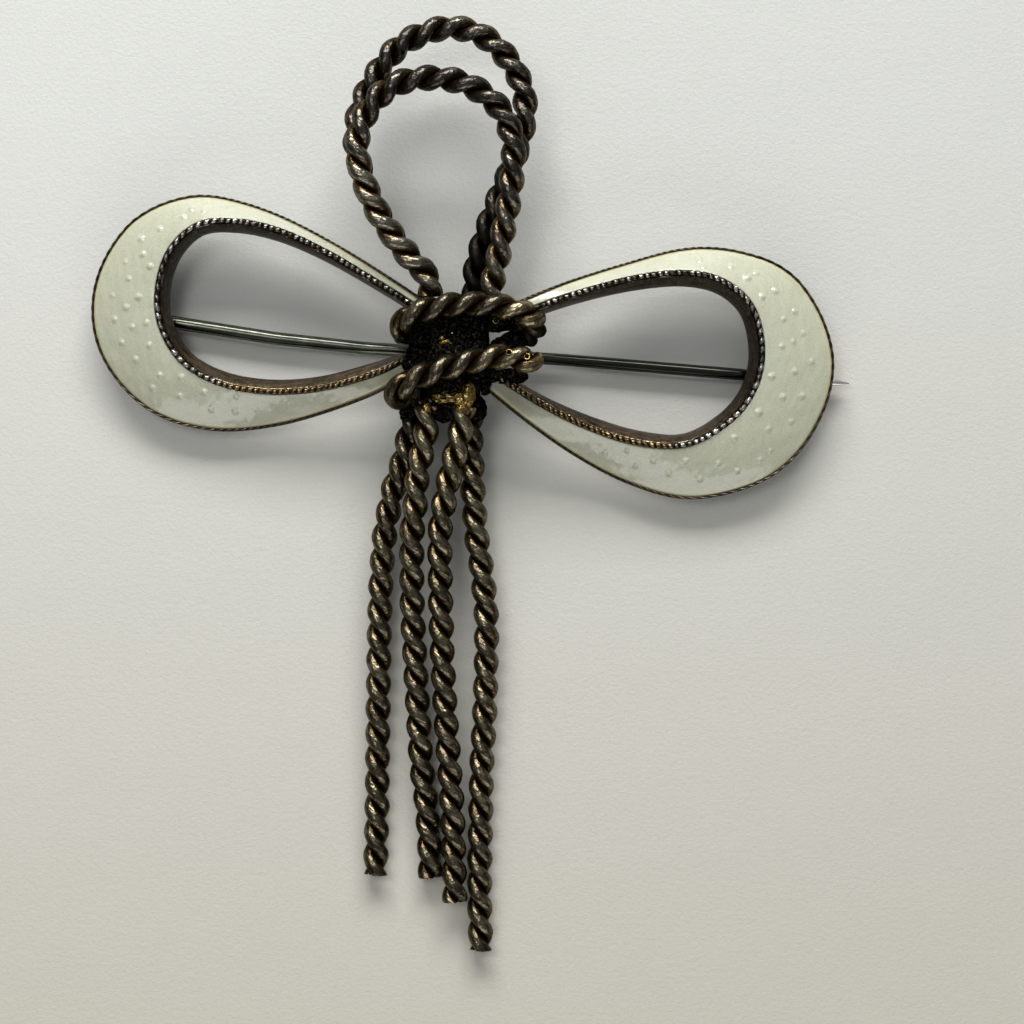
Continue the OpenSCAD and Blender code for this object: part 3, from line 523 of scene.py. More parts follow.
def wall_material():
    """The inner wall and the plate: brown-black tarnish, polished in streaks, with a painted warm reflection
    along the lower limbs and painted shade at the wall's foot and round the plate's outer edge.
    """
    m = Nodes("wall")
    tarnish = (0.014, 0.011, 0.008)
    depth = m.attribute("depth")
    streak = m.noise(0.35, detail=5, roughness=0.7, vector=m.attribute("ribbon", "Vector"))
    cloud = m.noise(1.6, detail=5, roughness=0.65)
    brown = m.mix(m.ramp(streak, 0.35, 0.7), (0.020, 0.016, 0.010), (0.085, 0.068, 0.044))
    # Painted warm reflection: warm brown along the lower limbs
    painted_warm_reflection = m.mix(m.ramp(streak, 0.38, 0.66), (0.036, 0.026, 0.017), (0.16, 0.112, 0.068))
    warm = m.ramp(m.vary(m.attribute("lower"), cloud, 1.4), 0.45, 0.95)
    base = m.mix(warm, brown, painted_warm_reflection)
    rust = m.math("MULTIPLY", m.ramp(cloud, 0.55, 0.7), m.ramp(depth, 0.0, 0.5, 0.6, 0.0))
    base = m.mix(rust, base, (0.12, 0.07, 0.03))
    base = m.mix(m.ramp(depth, 0.0, 0.3, 0.6, 0.0), base, tarnish)
    # Painted shade: near black where depth is near 1, at the wall's foot and round the plate's outer edge
    base = m.mix(m.ramp(depth, 0.8, 0.98, 0.0, 0.75), base, (0.012, 0.009, 0.007))
    lumps = m.noise(0.45, detail=5, roughness=0.75)
    base = m.mix(m.ramp(lumps, 0.36, 0.5, 0.7, 0.0), base, tarnish)
    worn = m.math("MULTIPLY", m.ramp(lumps, 0.54, 0.66), m.ramp(depth, 0.15, 0.5, 1.0, 0.35))
    base = m.mix(worn, base, (0.17, 0.135, 0.085))
    m.set(Base_Color=base, Metallic=0.9, Roughness=m.ramp(streak, 0.3, 0.7, 0.24, 0.4),
          Normal=m.bump(lumps, 0.12, 0.9, m.bump(streak, 0.03, 0.7)))
    return m.material


def enamel_material():
    """Glossy pale green-white enamel, yellower where it thins at its outer edge, with painted shade on the knot
    half of each wing, strongest along the lower limb.
    """
    m = Nodes("enamel")
    to_edge = m.attribute("to_edge")
    to_rim = m.attribute("to_rim")
    mottle = m.noise(1.3, detail=6, roughness=0.65)
    grain = m.noise(0.13, detail=4, roughness=0.75)
    body = m.mix(m.ramp(mottle, 0.3, 0.7), (0.455, 0.475, 0.345), (0.505, 0.52, 0.40))
    body = m.mix(m.ramp(grain, 0.45, 0.7, 0.0, 0.6), body, (0.62, 0.63, 0.52))
    body = m.mix(m.ramp(grain, 0.3, 0.5, 0.5, 0.0), body, (0.33, 0.35, 0.24))
    brushed = m.noise(0.3, detail=3, roughness=0.6, vector=m.attribute("ribbon", "Vector"))
    body = m.mix(m.ramp(brushed, 0.5, 0.7, 0.0, 0.16), body, (0.60, 0.60, 0.47))
    body = m.mix(m.ramp(brushed, 0.32, 0.48, 0.12, 0.0), body, (0.38, 0.395, 0.28))
    # Painted shade: darker on the knot half of each wing, most along the lower limb
    grime = m.vary(m.attribute("grime"), mottle, 0.6)
    body = m.mix(m.ramp(grime, 0.3, 1.0, 0.0, 0.75), body, (0.14, 0.135, 0.09))
    body = m.mix(m.ramp(to_edge, 0.1, 0.45, 0.6, 0.0), body, (0.60, 0.56, 0.31))
    body = m.mix(m.ramp(to_edge, 0.0, 0.07, 0.85, 0.0), body, (0.30, 0.21, 0.09))
    body = m.mix(m.ramp(to_rim, 0.0, 0.14, 0.75, 0.0), body, (0.16, 0.15, 0.10))
    speck = m.ramp(m.noise(0.5, detail=1), 0.77, 0.8, 0.0, 0.35)
    body = m.mix(speck, body, (0.25, 0.22, 0.15))
    m.set(Base_Color=body, Roughness=0.28, Coat_Weight=1.0, Coat_Roughness=0.07, Subsurface_Weight=0.25,
          Subsurface_Radius=(0.6 * MM, 0.7 * MM, 0.4 * MM), Subsurface_Scale=1.0, IOR=1.52,
          Normal=m.bump(grain, 0.006, 0.5), Coat_Normal=m.bump(mottle, 0.03, 0.5))
    return m.material


def black_solder_and_shade_material():
    """Black, gritty solder that sparkles, with a few gold glints. It also colours the black lumps and discs that
    stand in for shade in the knot, as painted shade.
    """
    m = Nodes("solder")
    grit = m.noise(0.24, detail=6, roughness=0.75)
    cloud = m.noise(1.1, detail=4, roughness=0.6)
    base = m.mix(m.ramp(grit, 0.52, 0.7), (0.0025, 0.0022, 0.002), (0.13, 0.125, 0.11))
    brown = m.math("MULTIPLY", m.ramp(cloud, 0.6, 0.75), m.ramp(grit, 0.45, 0.6))
    base = m.mix(m.math("MULTIPLY", brown, 0.6), base, (0.06, 0.042, 0.02))
    m.set(Base_Color=base, Metallic=0.97, Specular_Tint=(0.12, 0.12, 0.11, 1.0),
          Roughness=m.ramp(grit, 0.4, 0.7, 0.5, 0.2),
          Normal=m.bump(m.noise(0.11, detail=3, roughness=0.7), 0.04, 1.0, m.bump(grit, 0.16, 1.0)))
    return m.material


def gold_material():
    """Smooth gold solder, dark brown in clouds."""
    m = Nodes("gold_solder")
    cloud = m.noise(0.9, detail=2, roughness=0.5)
    fine = m.noise(0.25, detail=3, roughness=0.6)
    base = m.mix(m.ramp(cloud, 0.36, 0.54), (0.07, 0.048, 0.015), (0.30, 0.21, 0.07))
    m.set(Base_Color=base, Metallic=1.0, Roughness=m.ramp(fine, 0.3, 0.7, 0.3, 0.18),
          Specular_Tint=(0.6, 0.5, 0.3, 1.0), Normal=m.bump(m.noise(0.6, detail=1), 0.14, 1.0))
    return m.material


def steel_material():
    """Drawn steel wire with fine scratches along it, with painted shade towards the catch and painted light at
    its point.
    """
    m = Nodes("steel")
    along = m.attribute("along")
    scratches = m.noise(0.1, detail=4, roughness=0.7, stretch=(0.06, 1, 1))
    cloud = m.noise(2.2, detail=4)
    bare = m.mix(m.ramp(cloud, 0.35, 0.7), (0.065, 0.070, 0.056), (0.12, 0.125, 0.10))
    # Painted shade: near black from about the knot on towards the catch, where the stem lies under the right wing
    black = m.math("MULTIPLY", m.ramp(along, 0.42, 0.6), 0.85)
    bare = m.mix(black, bare, (0.022, 0.023, 0.020))
    # Painted light: pale at the point
    tip = m.ramp(along, 0.955, 0.965)
    m.set(Base_Color=m.mix(tip, bare, (0.62, 0.61, 0.58)), Metallic=1.0,
          Roughness=m.ramp(scratches, 0.3, 0.7, 0.12, 0.26), Normal=m.bump(scratches, 0.006, 0.6))
    return m.material


def table_material():
    """A pale, finely grained table top, with painted shade that makes it warmer and darker towards the viewer and
    a little darker to the right.
    """
    m = Nodes("table")
    grain = m.noise(0.42, detail=4, roughness=0.75)
    slow = m.noise(14.0, detail=3, roughness=0.5)
    split = m.node("ShaderNodeSeparateXYZ", {"Vector": m.place()})
    # Painted shade: darker and warmer towards the viewer, a little darker to the right
    near = m.ramp(split.outputs["Y"], 35.0, -60.0)
    across = m.ramp(split.outputs["X"], -40.0, 50.0, 0.0, 0.08)
    colour = m.mix(near, (0.60, 0.61, 0.585), (0.52, 0.50, 0.435))
    colour = m.mix(m.math("MULTIPLY", across, m.ramp(near, 0.0, 1.0, 1.0, 0.3)), colour, (0.1, 0.1, 0.1))
    m.set(Base_Color=colour, Roughness=0.5, Specular_IOR_Level=0.35,
          Normal=m.bump(grain, 0.10, 0.7, m.bump(slow, 0.4, 0.3)))
    return m.material


# Ropes

def wire_section(turn):
    """One wire's outline where a plane across the rope cuts it, for each turn of the twist: across the
    rope, out of it, distance from the rope's axis as a share of its radius, and place round the wire."""
    lean = math.atan(2 * math.pi * WIRE_OUT / TWIST_PITCH)
    psi = turns(WIRE_SIDES)
    shift = -(2 * math.pi / TWIST_PITCH) * WIRE_R * math.sin(lean) * np.sin(psi)
    angle = turn[:, None] + shift[None, :]
    out = (WIRE_OUT + WIRE_R * np.cos(psi))[None, :]
    side = -(WIRE_R * math.cos(lean) * np.sin(psi))[None, :]
    x = out * np.cos(angle) - side * np.sin(angle)
    y = out * np.sin(angle) + side * np.cos(angle)
    return x, y, np.hypot(x, y) / (WIRE_OUT + WIRE_R), psi


def rope(name, line, across, material, slot):
    """A left-handed two-wire rope along a line that never follows the direction across, with flat ends."""
    seed = ROPE_SEEDS[name]
    line, run = even(spline(line, ROPE_SPLINE_STEPS), RING_STEP)
    along = directions(line)
    n = unit(np.cross(np.array(across, float), along))
    b = np.cross(along, n)
    share, gold, dark = np.array(TONES[name]).T
    gold = np.interp(run / run[-1], share, gold)[:, None]
    dark = np.interp(run / run[-1], share, dark)[:, None]
    made = Builder()
    for k in (0, 1):
        x, y, crest, psi = wire_section(-2 * math.pi * run / TWIST_PITCH + k * math.pi)
        rings = line[:, None] + x[..., None] * n[:, None] + y[..., None] * b[:, None]
        worn = (1 + DENT * waves(rings, DENT_WAVE, seed)[..., None]
                + SCUFF * waves(rings, SCUFF_WAVE, seed + 1)[..., None])
        rings = line[:, None] + (rings - line[:, None]) * np.minimum(worn, MOST_SWELL)
        wire = np.stack([np.broadcast_to(WIRE_R * np.cos(psi) + WIRES_APART * k, x.shape),
                         np.broadcast_to(WIRE_R * np.sin(psi), x.shape),
                         np.broadcast_to(run[:, None] * STREAK_STEP + seed, x.shape)], axis=-1)
        made.skin(rings[:, ::-1], crest=crest[:, ::-1], wire=wire[:, ::-1], gold=gold, dark=dark)
    return made.finish(name + "_rope", material, BODY, replaces=name, slot=slot)


def loop_line(route, size):
    """A loop's route in millimetres."""
    return [(x * size["w"], y * size["h"], size["foot"] + z * size["rise"]) for x, y, z in route]


def build_ropes():
    """All ropes, and the one round the knot as the result, because marks are set on it later."""
    loops = rope_material("loop_silver", ((0.032, 0.023, 0.014), (0.15, 0.092, 0.034)),
                          ((0.066, 0.058, 0.052), (0.29, 0.265, 0.205)), 0.25)
    tails = rope_material("tail_gilt", ((0.024, 0.017, 0.008), (0.11, 0.073, 0.026)),
                          ((0.072, 0.057, 0.032), (0.28, 0.245, 0.155)), 0.25)
    knot = rope_material("knot_gilt", ((0.032, 0.024, 0.012), (0.13, 0.085, 0.028)),
                         ((0.105, 0.090, 0.062), (0.32, 0.265, 0.15)), 0.27)
    up, forward = (0, 0, 1), (0, 1, 0)
    rope("loop_front", loop_line(FRONT_LOOP_ROUTE, FRONT_LOOP), up, loops, "rope_silver")
    rope("loop_back", loop_line(BACK_LOOP_ROUTE, BACK_LOOP), up, loops, "rope_silver")
    for name, route in TAIL_ROUTES.items():
        line = [(x, TAIL_TOP[name] - share * TAIL_LEN[name], z) for x, share, z in route]
        rope(name, line, up, tails, "rope_gilt")
    line = [(x, y, mix(WRAP_BACK_Z, WRAP_FRONT_Z, share)) for x, y, share in WRAP_ROUTE]
    return rope("knot_wrap", line, forward, knot, "rope_gilt")


# Wings

def wing_stations(wing, step):
    """Even stations round a wing, each with the rim's place in the wing's own plane, ribbon width and lean of
    the wall. Then the outward direction and the running length at each."""
    rows = [(a * OPENING_LEN, b * wing["opening_h"], w * wing["ribbon_w"], lean * WALL_LEAN)
            for a, b, w, lean in wing["sections"]]
    st, run = even(spline(rows, WING_SPLINE_STEPS), step, columns=2)
    t = directions(st[:, :2])
    return st, np.stack([-t[:, 1], t[:, 0]], axis=1), run


def wing_rings(wing, st, outward, q, z):
    """Rings of points at distances q outwards from the rim and heights z, in millimetres from the knot."""
    flat = st[:, None, :2] + q[..., None] * outward[:, None]
    c, s = math.cos(math.radians(wing["tilt"])), math.sin(math.radians(wing["tilt"]))
    along, across = flat[..., 0], flat[..., 1]
    return np.stack([wing["side"] * (along * c - across * s), along * s + across * c, z], axis=-1)


def wing_heights(wing, st):
    """Rim height, height of the outer edge, share of the full width and height of the wall."""
    share = st[:, 0] / OPENING_LEN
    along = np.clip(share, None, 1)
    turned = smooth(EDGE_FROM, EDGE_TO, share)
    f = st[:, 2] / wing["ribbon_w"]
    top = mix(RIM_Z_KNOT, RIM_Z_BROAD, along) + WING_ROLL * st[:, 1] / wing["opening_h"] * turned
    low = top - RIBBON_FALL * f - LIMB_FALL * (1 - f) * turned
    return top, low, f, WALL_H * mix(WALL_SHARE_KNOT, 1, along)


def build_plate(name, wing, material):
    """Plate, inner wall and the ledge for the wire, as one closed section round the wing."""
    st, outward, run = wing_stations(wing, PLATE_STEP)
    top, low, f, deep = wing_heights(wing, st)
    w, lean = st[:, 2], st[:, 3]
    zero = 0 * w
    slope = (top - low) / w
    bed = ENAMEL_T + 2 * ENAMEL_GAP
    q, z, depth = [], [], []

    def put(across, height, value=0.0):
        """One more corner of the section: distance outwards, height, and depth from 0 to 1, which the wall's
        colour turns into painted shade near 1.
        """
        q.append(across)
        z.append(height)
        depth.append(np.full(len(st), value))

    lip, bevel, floor = 0.1, 0.03, 0.06
    put(w, low - PLATE_T - lip, 1.0)
    put(w, low - lip, 1.0)
    put(w - bevel, low - 0.04 + slope * bevel, 1.0)
    put(w - EDGE_WIRE_W, low - floor + slope * EDGE_WIRE_W, 1.0)
    put(w - EDGE_WIRE_W - 0.01, low - bed + slope * EDGE_WIRE_W)
    for share in (0.75, 0.5, 0.25):
        put((w - EDGE_WIRE_W) * share, top - slope * (w - EDGE_WIRE_W) * share - bed
            + 4 * ENAMEL_CROWN * share * (1 - share) * f)
    put(zero, top - bed)
    put(zero - bevel, top - 0.24, 0.9)
    put(zero - BEAD_W * 0.5, top - lip, 0.9)
    # The wall leans inwards under the beads and is nearly upright at its foot
    steps = 14
    for k in range(steps + 1):
        t = k / steps
        ease = math.sin(t * math.pi / 2) ** 1.3
        inner = BEAD_W * mix(0.82, 1, min(t * 4, 1))
        put(-inner - lean * (0.75 * ease + 0.25 * t), top - floor - (deep - floor) * t, t)
    put(-BEAD_W - lean + WALL_T * 0.5, top - deep - 0.02, 1.0)
    put(-BEAD_W - lean + WALL_T, top - deep + 0.05, 1.0)
    put(zero, top - bed - PLATE_T)
    for share in (0.25, 0.5, 0.75):
        put(w * share, mix(top, low, share) - bed - PLATE_T + 4 * ENAMEL_CROWN * share * (1 - share) * f)
    q, z = np.stack(q, 1), np.stack(z, 1)
    rings = wing_rings(wing, st, outward, q, z)
    ribbon = np.stack([q, z, np.broadcast_to(run[:, None] * PLATE_BRUSHING, q.shape)], axis=-1)
    # Larger along the lower limbs, where the wall gets its painted warm reflection
    lower = (0.5 - st[:, 1] / wing["opening_h"] * 1.6)[:, None]
    made = Builder()
    made.skin(rings, flip=wing["side"] < 0, depth=np.stack(depth, 1), lower=lower, ribbon=ribbon)
    made.finish(name + "_plate", material, BODY, replaces=name, slot="wing_metal", sharp=50)


def build_beads(name, wing, material):
    """The milled rim: a half-round strip with slanting notches, longer beads round the broad end and
    narrow bars along the limbs."""
    st, outward, run = wing_stations(wing, BEAD_STEP)
    top = wing_heights(wing, st)[0]
    share = st[:, 0] / OPENING_LEN
    bar_pitch = 0.6
    pitch = mix(bar_pitch, wing["bead_pitch"], smooth(0.75, 0.95, share))
    phase = np.concatenate([[0], np.cumsum(np.diff(run) / pitch[1:])])
    rng = np.random.default_rng(5 if wing["side"] > 0 else 4)
    sizes = rng.uniform(0.68, 1.08, int(phase[-1]) + 3)
    shifts = rng.uniform(-0.12, 0.12, len(sizes))
    turn = turns(18)
    slant = 0.16 * np.cos(turn)[None]
    place = phase[:, None] + slant + np.interp(phase, np.arange(len(shifts)), shifts)[:, None] + 1
    bead = np.abs(np.sin(place * math.pi)) ** 0.6
    bead = bead * np.interp(place - 0.5, np.arange(len(sizes)), sizes)
    outer = np.clip(np.cos(turn), 0, 1)[None]
    across_r = 0.24 + 0.05 * bead * (0.3 + 0.7 * outer)
    up_r = 0.13 + 0.16 * bead
    q = -BEAD_W / 2 + 0.02 + across_r * np.cos(turn)
    z = (top - 0.08)[:, None] + up_r * np.sin(turn)
    rings = wing_rings(wing, st, outward, q, z)
    rings = rings + 0.016 * waves(rings, 0.4, 40)[..., None]
    broad = smooth(0.6, 0.92, share)
    crest = bead * mix(0.5, 1, np.clip(np.sin(turn), 0, 1)) * mix(0.8, 1, broad)[:, None]
    lower = smooth(0.05, 0.35, -st[:, 1] / wing["opening_h"]) * (1 - broad)
    made = Builder()
    made.skin(rings, flip=wing["side"] < 0, crest=crest, gold=lower[:, None])
    # The thin bright line inside the beads: a painted highlight, brightest along the lower limbs
    lip_turn = turns(8)
    lip_r = (0.05 + 0.02 * lower)[:, None]
    q = -BEAD_W + 0.02 + lip_r * np.cos(lip_turn)
    z = (top - 0.11)[:, None] + lip_r * np.sin(lip_turn)
    rings = wing_rings(wing, st, outward, q, z)
    painted_highlight = 0.35 + 0.8 * lower + 0.25 * waves(rings[:, 0], 2.0, 41)
    made.skin(rings + 0.012 * waves(rings, 0.5, 42)[..., None], flip=wing["side"] < 0, crest=painted_highlight[:, None],
              gold=lower[:, None])
    made.finish(name + "_beads", material, BODY, slot="wing_metal")


def build_edge_wire(name, wing, material):
    """The hair-thin twisted wire along the outer edge."""
    wire_r, swell = 0.068, 1.03
    pitch, stations_a_turn = 1.15, 12
    st, outward, run = wing_stations(wing, pitch / stations_a_turn)
    top, low = wing_heights(wing, st)[:2]
    slope = (top - low) / st[:, 2]
    turn = turns(8)
    made = Builder()
    for half_turn in (0, math.pi):
        twist = 2 * math.pi * run / pitch + half_turn
        middle = st[:, 2] - 2 * wire_r
        q = (middle + wire_r * np.cos(twist))[:, None] + wire_r * swell * np.cos(turn)
        z = (low + slope * 2 * wire_r + 0.01 + wire_r * np.sin(twist))[:, None] + wire_r * swell * np.sin(turn)
        rings = wing_rings(wing, st, outward, q, z)
        crest = np.broadcast_to(0.5 + 0.5 * np.sin(twist)[:, None], q.shape)
        made.skin(rings, flip=wing["side"] < 0, crest=crest, gold=0.5)
    made.finish(name + "_edge_wire", material, BODY, slot="wing_metal")


def dot_places(chart, z):
    """The charted dots in millimetres from the knot, as the camera sees them at height z."""
    scale = TABLE_MM_A_PIXEL * (1 - z / CAMERA_HEIGHT)
    spots = np.array(chart["spots"], float) / chart["zoom"] + np.array(chart["corner"])
    return CAMERA_FROM_KNOT + (spots - IMAGE_MIDDLE) * np.array([scale, -scale])


def build_enamel(name, wing, chart, material):
    """The enamel: a crowned strip between rim and wire, with raised dots."""
    st, outward, run = wing_stations(wing, ENAMEL_STEP)
    top, low, f = wing_heights(wing, st)[:3]
    near, far = np.zeros(len(st)) - 0.02, st[:, 2] - EDGE_WIRE_W + 0.01
    face_points, back_points = 62, 8
    upper = np.linspace(0, 1, face_points)
    under = np.linspace(1, 0, back_points)
    share = np.concatenate([upper, under])
    q = near[:, None] + (far - near)[:, None] * share
    s = q / st[:, 2][:, None]
    skin_z = mix(top[:, None], low[:, None], s) - 2 * ENAMEL_GAP
    skin_z = skin_z + 4 * ENAMEL_CROWN * np.clip(s * (1 - s), 0, 1) * f[:, None]
    drop = 0.08
    edge_round = drop * (1 - smooth(0, 0.14, q - near[:, None])) + drop * (1 - smooth(0, 0.2, far[:, None] - q))
    z = skin_z - edge_round
    z[:, face_points:] = skin_z[:, face_points:] - ENAMEL_T + 0.06
    rings = wing_rings(wing, st, outward, q, z)
    face = rings[:, :face_points]
    rng = np.random.default_rng(DOT_SEED)
    for spot in dot_places(chart, RIM_Z_BROAD - DOTS_UNDER_RIM):
        size = rng.uniform(*DOT_SIZES)
        distance = np.hypot(face[..., 0] - spot[0], face[..., 1] - spot[1]) / (DOT_R * size)
        face[..., 2] += DOT_H * size * np.where(distance < 1, (1 - np.minimum(distance, 1) ** 2) ** 1.5, 0)
    face[..., 2] += 0.014 * waves(face, 1.4, 50) + 0.004 * waves(face, 0.4, 51)
    made = Builder()
    # Painted shade: full on the knot half of the lower limb, weaker on the upper limb, none at the broad end
    grime = (1 - smooth(0.15, 0.62, st[:, 0] / OPENING_LEN)) * np.where(st[:, 1] < 0, 1, 0.35)
    ribbon = np.stack([q, z, np.broadcast_to(run[:, None] * ENAMEL_BRUSHING, q.shape)], axis=-1)
    made.skin(rings, flip=wing["side"] > 0, to_edge=far[:, None] - q, to_rim=q - near[:, None],
              grime=grime[:, None], ribbon=ribbon)
    made.finish(name + "_enamel_glaze", material, BODY, replaces=name + "_enamel", slot="enamel")


def build_wings():
    wall = wall_material()
    beads = notched_material("bead_silver", (0.032, 0.026, 0.018), (0.60, 0.58, 0.53), (0.30, 0.21, 0.10), 0.22,
                             0.56, 0.95)
    wire = notched_material("edge_silver", (0.026, 0.021, 0.015), (0.13, 0.115, 0.085), (0.10, 0.075, 0.04),
                            0.4, 0.6, 1.2)
    enamel = enamel_material()
    for name, wing, chart in (("left", LEFT_WING, LEFT_DOTS), ("right", RIGHT_WING, RIGHT_DOTS)):
        build_plate(name + "_wing", wing, wall)
        build_beads(name + "_wing", wing, beads)
        build_edge_wire(name + "_wing", wing, wire)
        build_enamel(name, wing, chart, enamel)


# Knot

def lump(made, centre, radii, seed, rough, wavelength, power, rings, sides):
    """A rounded lump of solder: a super-ellipsoid with smooth noise on it."""
    v = np.linspace(-math.pi / 2, math.pi / 2, rings + 2)[1:-1]
    u = turns(sides)

    def bend(value):
        return np.sign(value) * np.abs(value) ** (2 / power)

    x = bend(np.cos(v))[:, None] * bend(np.cos(u))[None]
    y = bend(np.cos(v))[:, None] * bend(np.sin(u))[None]
    z = np.broadcast_to(bend(np.sin(v))[:, None], x.shape)
    shape = np.stack([x, y, z], -1) * np.array(radii)
    points = shape + np.array(centre)
    noise = rough * waves(points, wavelength, seed) + 0.35 * rough * waves(points, wavelength * 0.3, seed + 1)
    points = points + unit(shape) * noise[..., None]
    made.skin(points)


def solder(name, material, lumps):
    """One piece of several lumps, in rows as in CORE_AND_SHADE_LUMPS."""
    made = Builder()
    for row in lumps:
        lump(made, *row, sides=int(row[-1] * SIDES_A_RING))
    return made.finish(name, material, BODY, slot="solder", sharp=80,
                       replaces="knot_core" if name == "core_solder_and_shade" else None)


def ring_mark(made, place, lean):
    """A small raised ring round a pit. Lean is its slope towards the loops."""
    u, v = turns(28), turns(10)
    out = MARK_R + MARK_WIRE_R * np.cos(v)[None]
    x, y = out * np.cos(u)[:, None], out * np.sin(u)[:, None]
    z = MARK_WIRE_R * np.sin(v)[None] + y * lean
    rings = np.stack([x, y, z], -1) + np.array(place)
    made.skin(rings + 0.01 * waves(rings, 0.25, 90)[..., None], flip=True, closed=True)


def build_knot(wrap):
    """The solder of the knot, partly black stand-ins for shade, and the ring marks on the core and on the rope
    that is wrapped round it, each with a black disc in its pit as painted shade.
    """
    black = black_solder_and_shade_material()
    gold = gold_material()
    core = solder("core_solder_and_shade", black, CORE_AND_SHADE_LUMPS)
    solder("gold_glints", gold, GLINT_LUMPS)
    solder("tail_solder", gold, TAIL_LUMPS)
    marks, pit_shade_discs = Builder(), Builder()
    for carrier, x, y, lean in RING_MARKS:
        piece = {"wrap": wrap, "core": core}[carrier]
        points = np.array([v.co for v in piece.data.vertices]) / MM - KNOT
        z = points[np.hypot(points[:, 0] - x, points[:, 1] - y) < MARK_R][:, 2].max()
        ring_mark(marks, (x, y, z + 0.01), lean)
        # A black disc in the pit, painted shade
        lump(pit_shade_discs, (x, y, z - 0.02), PIT_RADII, 91, 0.01, 0.3, power=2.0, rings=10, sides=16)
    marks.finish("pit_rings", gold, BODY, slot="solder")
    pit_shade_discs.finish("pit_shade_discs", black, BODY, slot="solder")


# Pin

def build_pin():
    """The pin's bent and pointed stem, and its eye round the hinge's rivet."""
    made = Builder()
    joins = np.cumsum(STRETCHES)
    cloth_end = joins[-1]
    point_from = cloth_end + TAPER_LEN + END_LEN
    total = point_from + POINT_LEN
    fine_points, ring_gap, point_rings = 4000, 0.25, 40
    fine = np.linspace(0, total, fine_points)
    slope = np.full(len(fine), SLOPES[0])
    for at, before, after in zip(joins, SLOPES, SLOPES[1:]):
        slope = slope + (after - before) * smooth(at - BEND_HALF, at + BEND_HALF, fine)
    slope = np.radians(slope)
    step = fine[1]
    run = np.concatenate([np.arange(EYE_R * 0.8, point_from, ring_gap),
                          np.linspace(point_from, total, point_rings)])
    x = np.interp(run, fine, (np.cumsum(np.cos(slope)) - np.cos(slope[0])) * step)
    y = np.interp(run, fine, -(np.cumsum(np.sin(slope)) - np.sin(slope[0])) * step)
    line = np.stack([x + HINGE_FROM_KNOT[0], y + HINGE_FROM_KNOT[1], np.full(len(run), STEM_Z)], 1)
    radius = np.interp(run, [0, joins[2], cloth_end, cloth_end + TAPER_LEN], [ROOT_R, STEM_R, STEM_R, END_R])
    point = np.clip((run - point_from) / POINT_LEN, 0, 1)
    radius = mix(radius, TIP_R, point ** 1.3)
    along = directions(line)
    up = np.array([0.0, 0.0, 1.0])
    side = unit(np.cross(up, along))
    turn = turns(32)
    rings = line[:, None] + radius[:, None, None] * (
        np.cos(turn)[None, :, None] * side[:, None] + np.sin(turn)[None, :, None] * up)
    made.skin(rings, along=(run / total)[:, None])
    axle = np.array([math.sin(math.radians(SLOPES[0])), math.cos(math.radians(SLOPES[0])), 0.0])
    ahead = np.array([axle[1], -axle[0], 0.0])
    centre = np.array([*HINGE_FROM_KNOT, STEM_Z])
    profile = [(BORE_R, -1), (BORE_R, 1), (EYE_R - EYE_BEVEL, 1), (EYE_R, EYE_BEVEL_SHARE),
               (EYE_R, -EYE_BEVEL_SHARE), (EYE_R - EYE_BEVEL, -1)]
    rings = np.array([[centre + r * (math.cos(t) * ahead + math.sin(t) * up) + axle * w * EYE_W / 2
                       for r, w in profile] for t in turns(64)])
    made.skin(rings, flip=True, closed=True, along=0.0)
    made.finish("pin_wire", steel_material(), PIN_BODY, replaces="pin_stem", slot="steel", sharp=35)


def dress_fittings():
    """Hinge bracket and catch keep their solids and get a better material."""
    fittings = fitting_material()
    for name in ("hinge_bracket", "catch"):
        mesh = frame["nodes"][name].data
        mesh.materials.clear()
        mesh.materials.append(fittings)


# Stage, light and camera

def build_stage():
    """The table top."""
    mesh = bpy.data.meshes.new("table")
    half, z = TABLE_HALF, -TABLE_DROP * MM
    mesh.from_pydata([(-half, -half, z), (half, -half, z), (half, half, z), (-half, half, z)], [], [(0, 1, 2, 3)])
    mesh.materials.append(table_material())
    table = new_object("table", mesh)


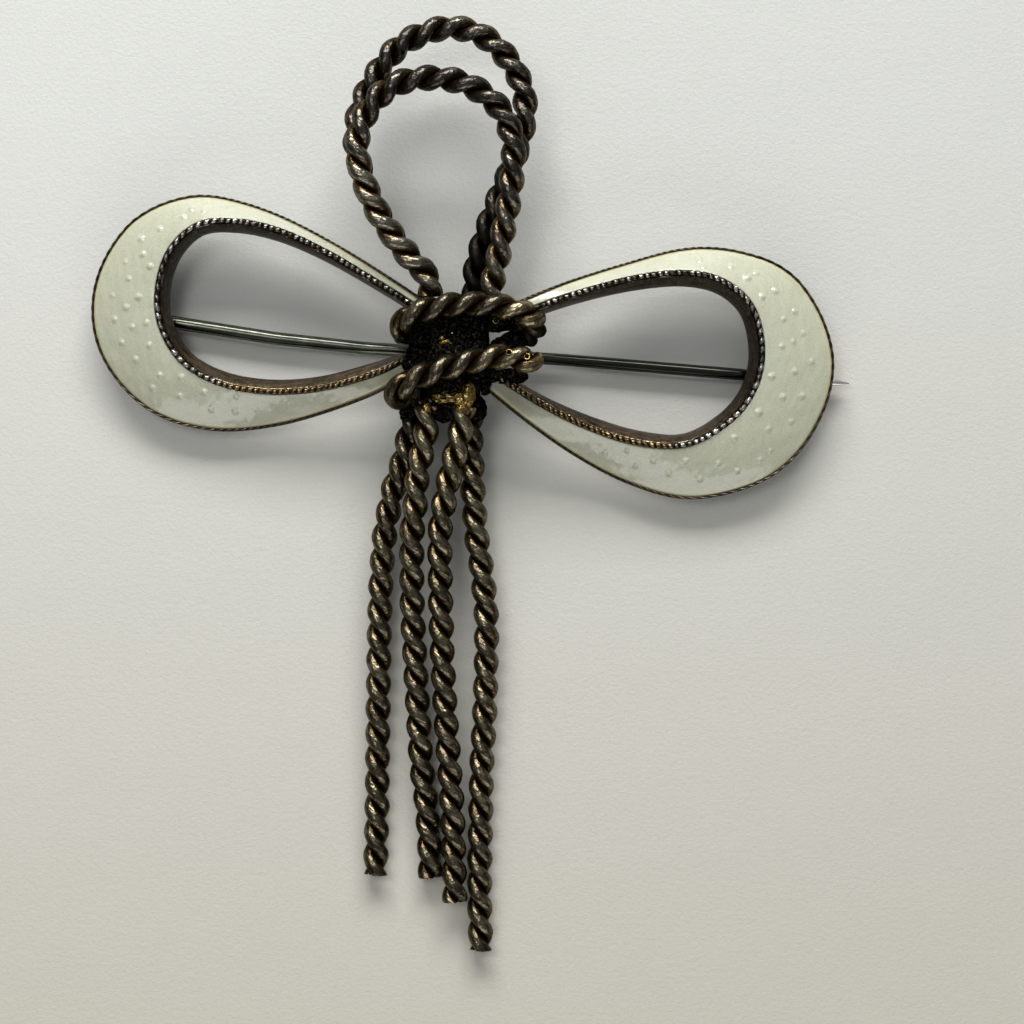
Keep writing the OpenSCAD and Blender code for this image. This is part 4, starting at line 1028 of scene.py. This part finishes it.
def area_light(name, place, size, power, colour):
    """A rectangular light that points at the brooch."""
    data = bpy.data.lights.new(name, "AREA")
    data.shape = "RECTANGLE"
    data.size, data.size_y = size
    data.energy = power
    data.color = colour
    lamp = new_object(name, data)
    lamp.location = place
    lamp.rotation_euler = (Vector() - Vector(place)).to_track_quat("-Z", "Y").to_euler()


def build_light():
    """Three soft lights and a dim room that is brighter towards the window and overhead."""
    for name, settings in LIGHTS.items():
        area_light(name, *settings)
    world = bpy.data.worlds.new("room")
    world.use_nodes = True
    tree = world.node_tree
    background = tree.nodes["Background"]
    coordinates = tree.nodes.new("ShaderNodeTexCoord")
    split = tree.nodes.new("ShaderNodeSeparateXYZ")
    tree.links.new(coordinates.outputs["Generated"], split.inputs[0])

    def graded(axis, grade):
        ramp = tree.nodes.new("ShaderNodeMapRange")
        ramp.interpolation_type = "SMOOTHSTEP"
        tree.links.new(split.outputs[axis], ramp.inputs["Value"])
        for key, value in zip(("From Min", "From Max", "To Min", "To Max"), grade):
            ramp.inputs[key].default_value = value
        return ramp.outputs["Result"]

    both = tree.nodes.new("ShaderNodeMath")
    both.operation = "MULTIPLY"
    tree.links.new(graded("Y", ROOM_BY_Y), both.inputs[0])
    tree.links.new(graded("Z", ROOM_BY_Z), both.inputs[1])
    tree.links.new(both.outputs[0], background.inputs["Strength"])
    background.inputs["Color"].default_value = ROOM_COLOUR
    bpy.context.scene.world = world


def build_camera():
    """Straight above the table, with the photograph's frame."""
    data = bpy.data.cameras.new("camera")
    half_width = IMAGE_MIDDLE * TABLE_MM_A_PIXEL
    data.sensor_width = 36.0
    data.lens = data.sensor_width / 2 * CAMERA_HEIGHT / half_width
    data.clip_start, data.clip_end = 0.01, 10
    camera = new_object("camera", data)
    place = KNOT[:2] + CAMERA_FROM_KNOT
    camera.location = (place[0] * MM, place[1] * MM, CAMERA_HEIGHT * MM)
    bpy.context.scene.camera = camera


build_camera()
build_stage()
build_light()
wrap = build_ropes()
build_wings()
build_knot(wrap)
build_pin()
dress_fittings()
bpy.context.scene.view_settings.view_transform = "Standard"
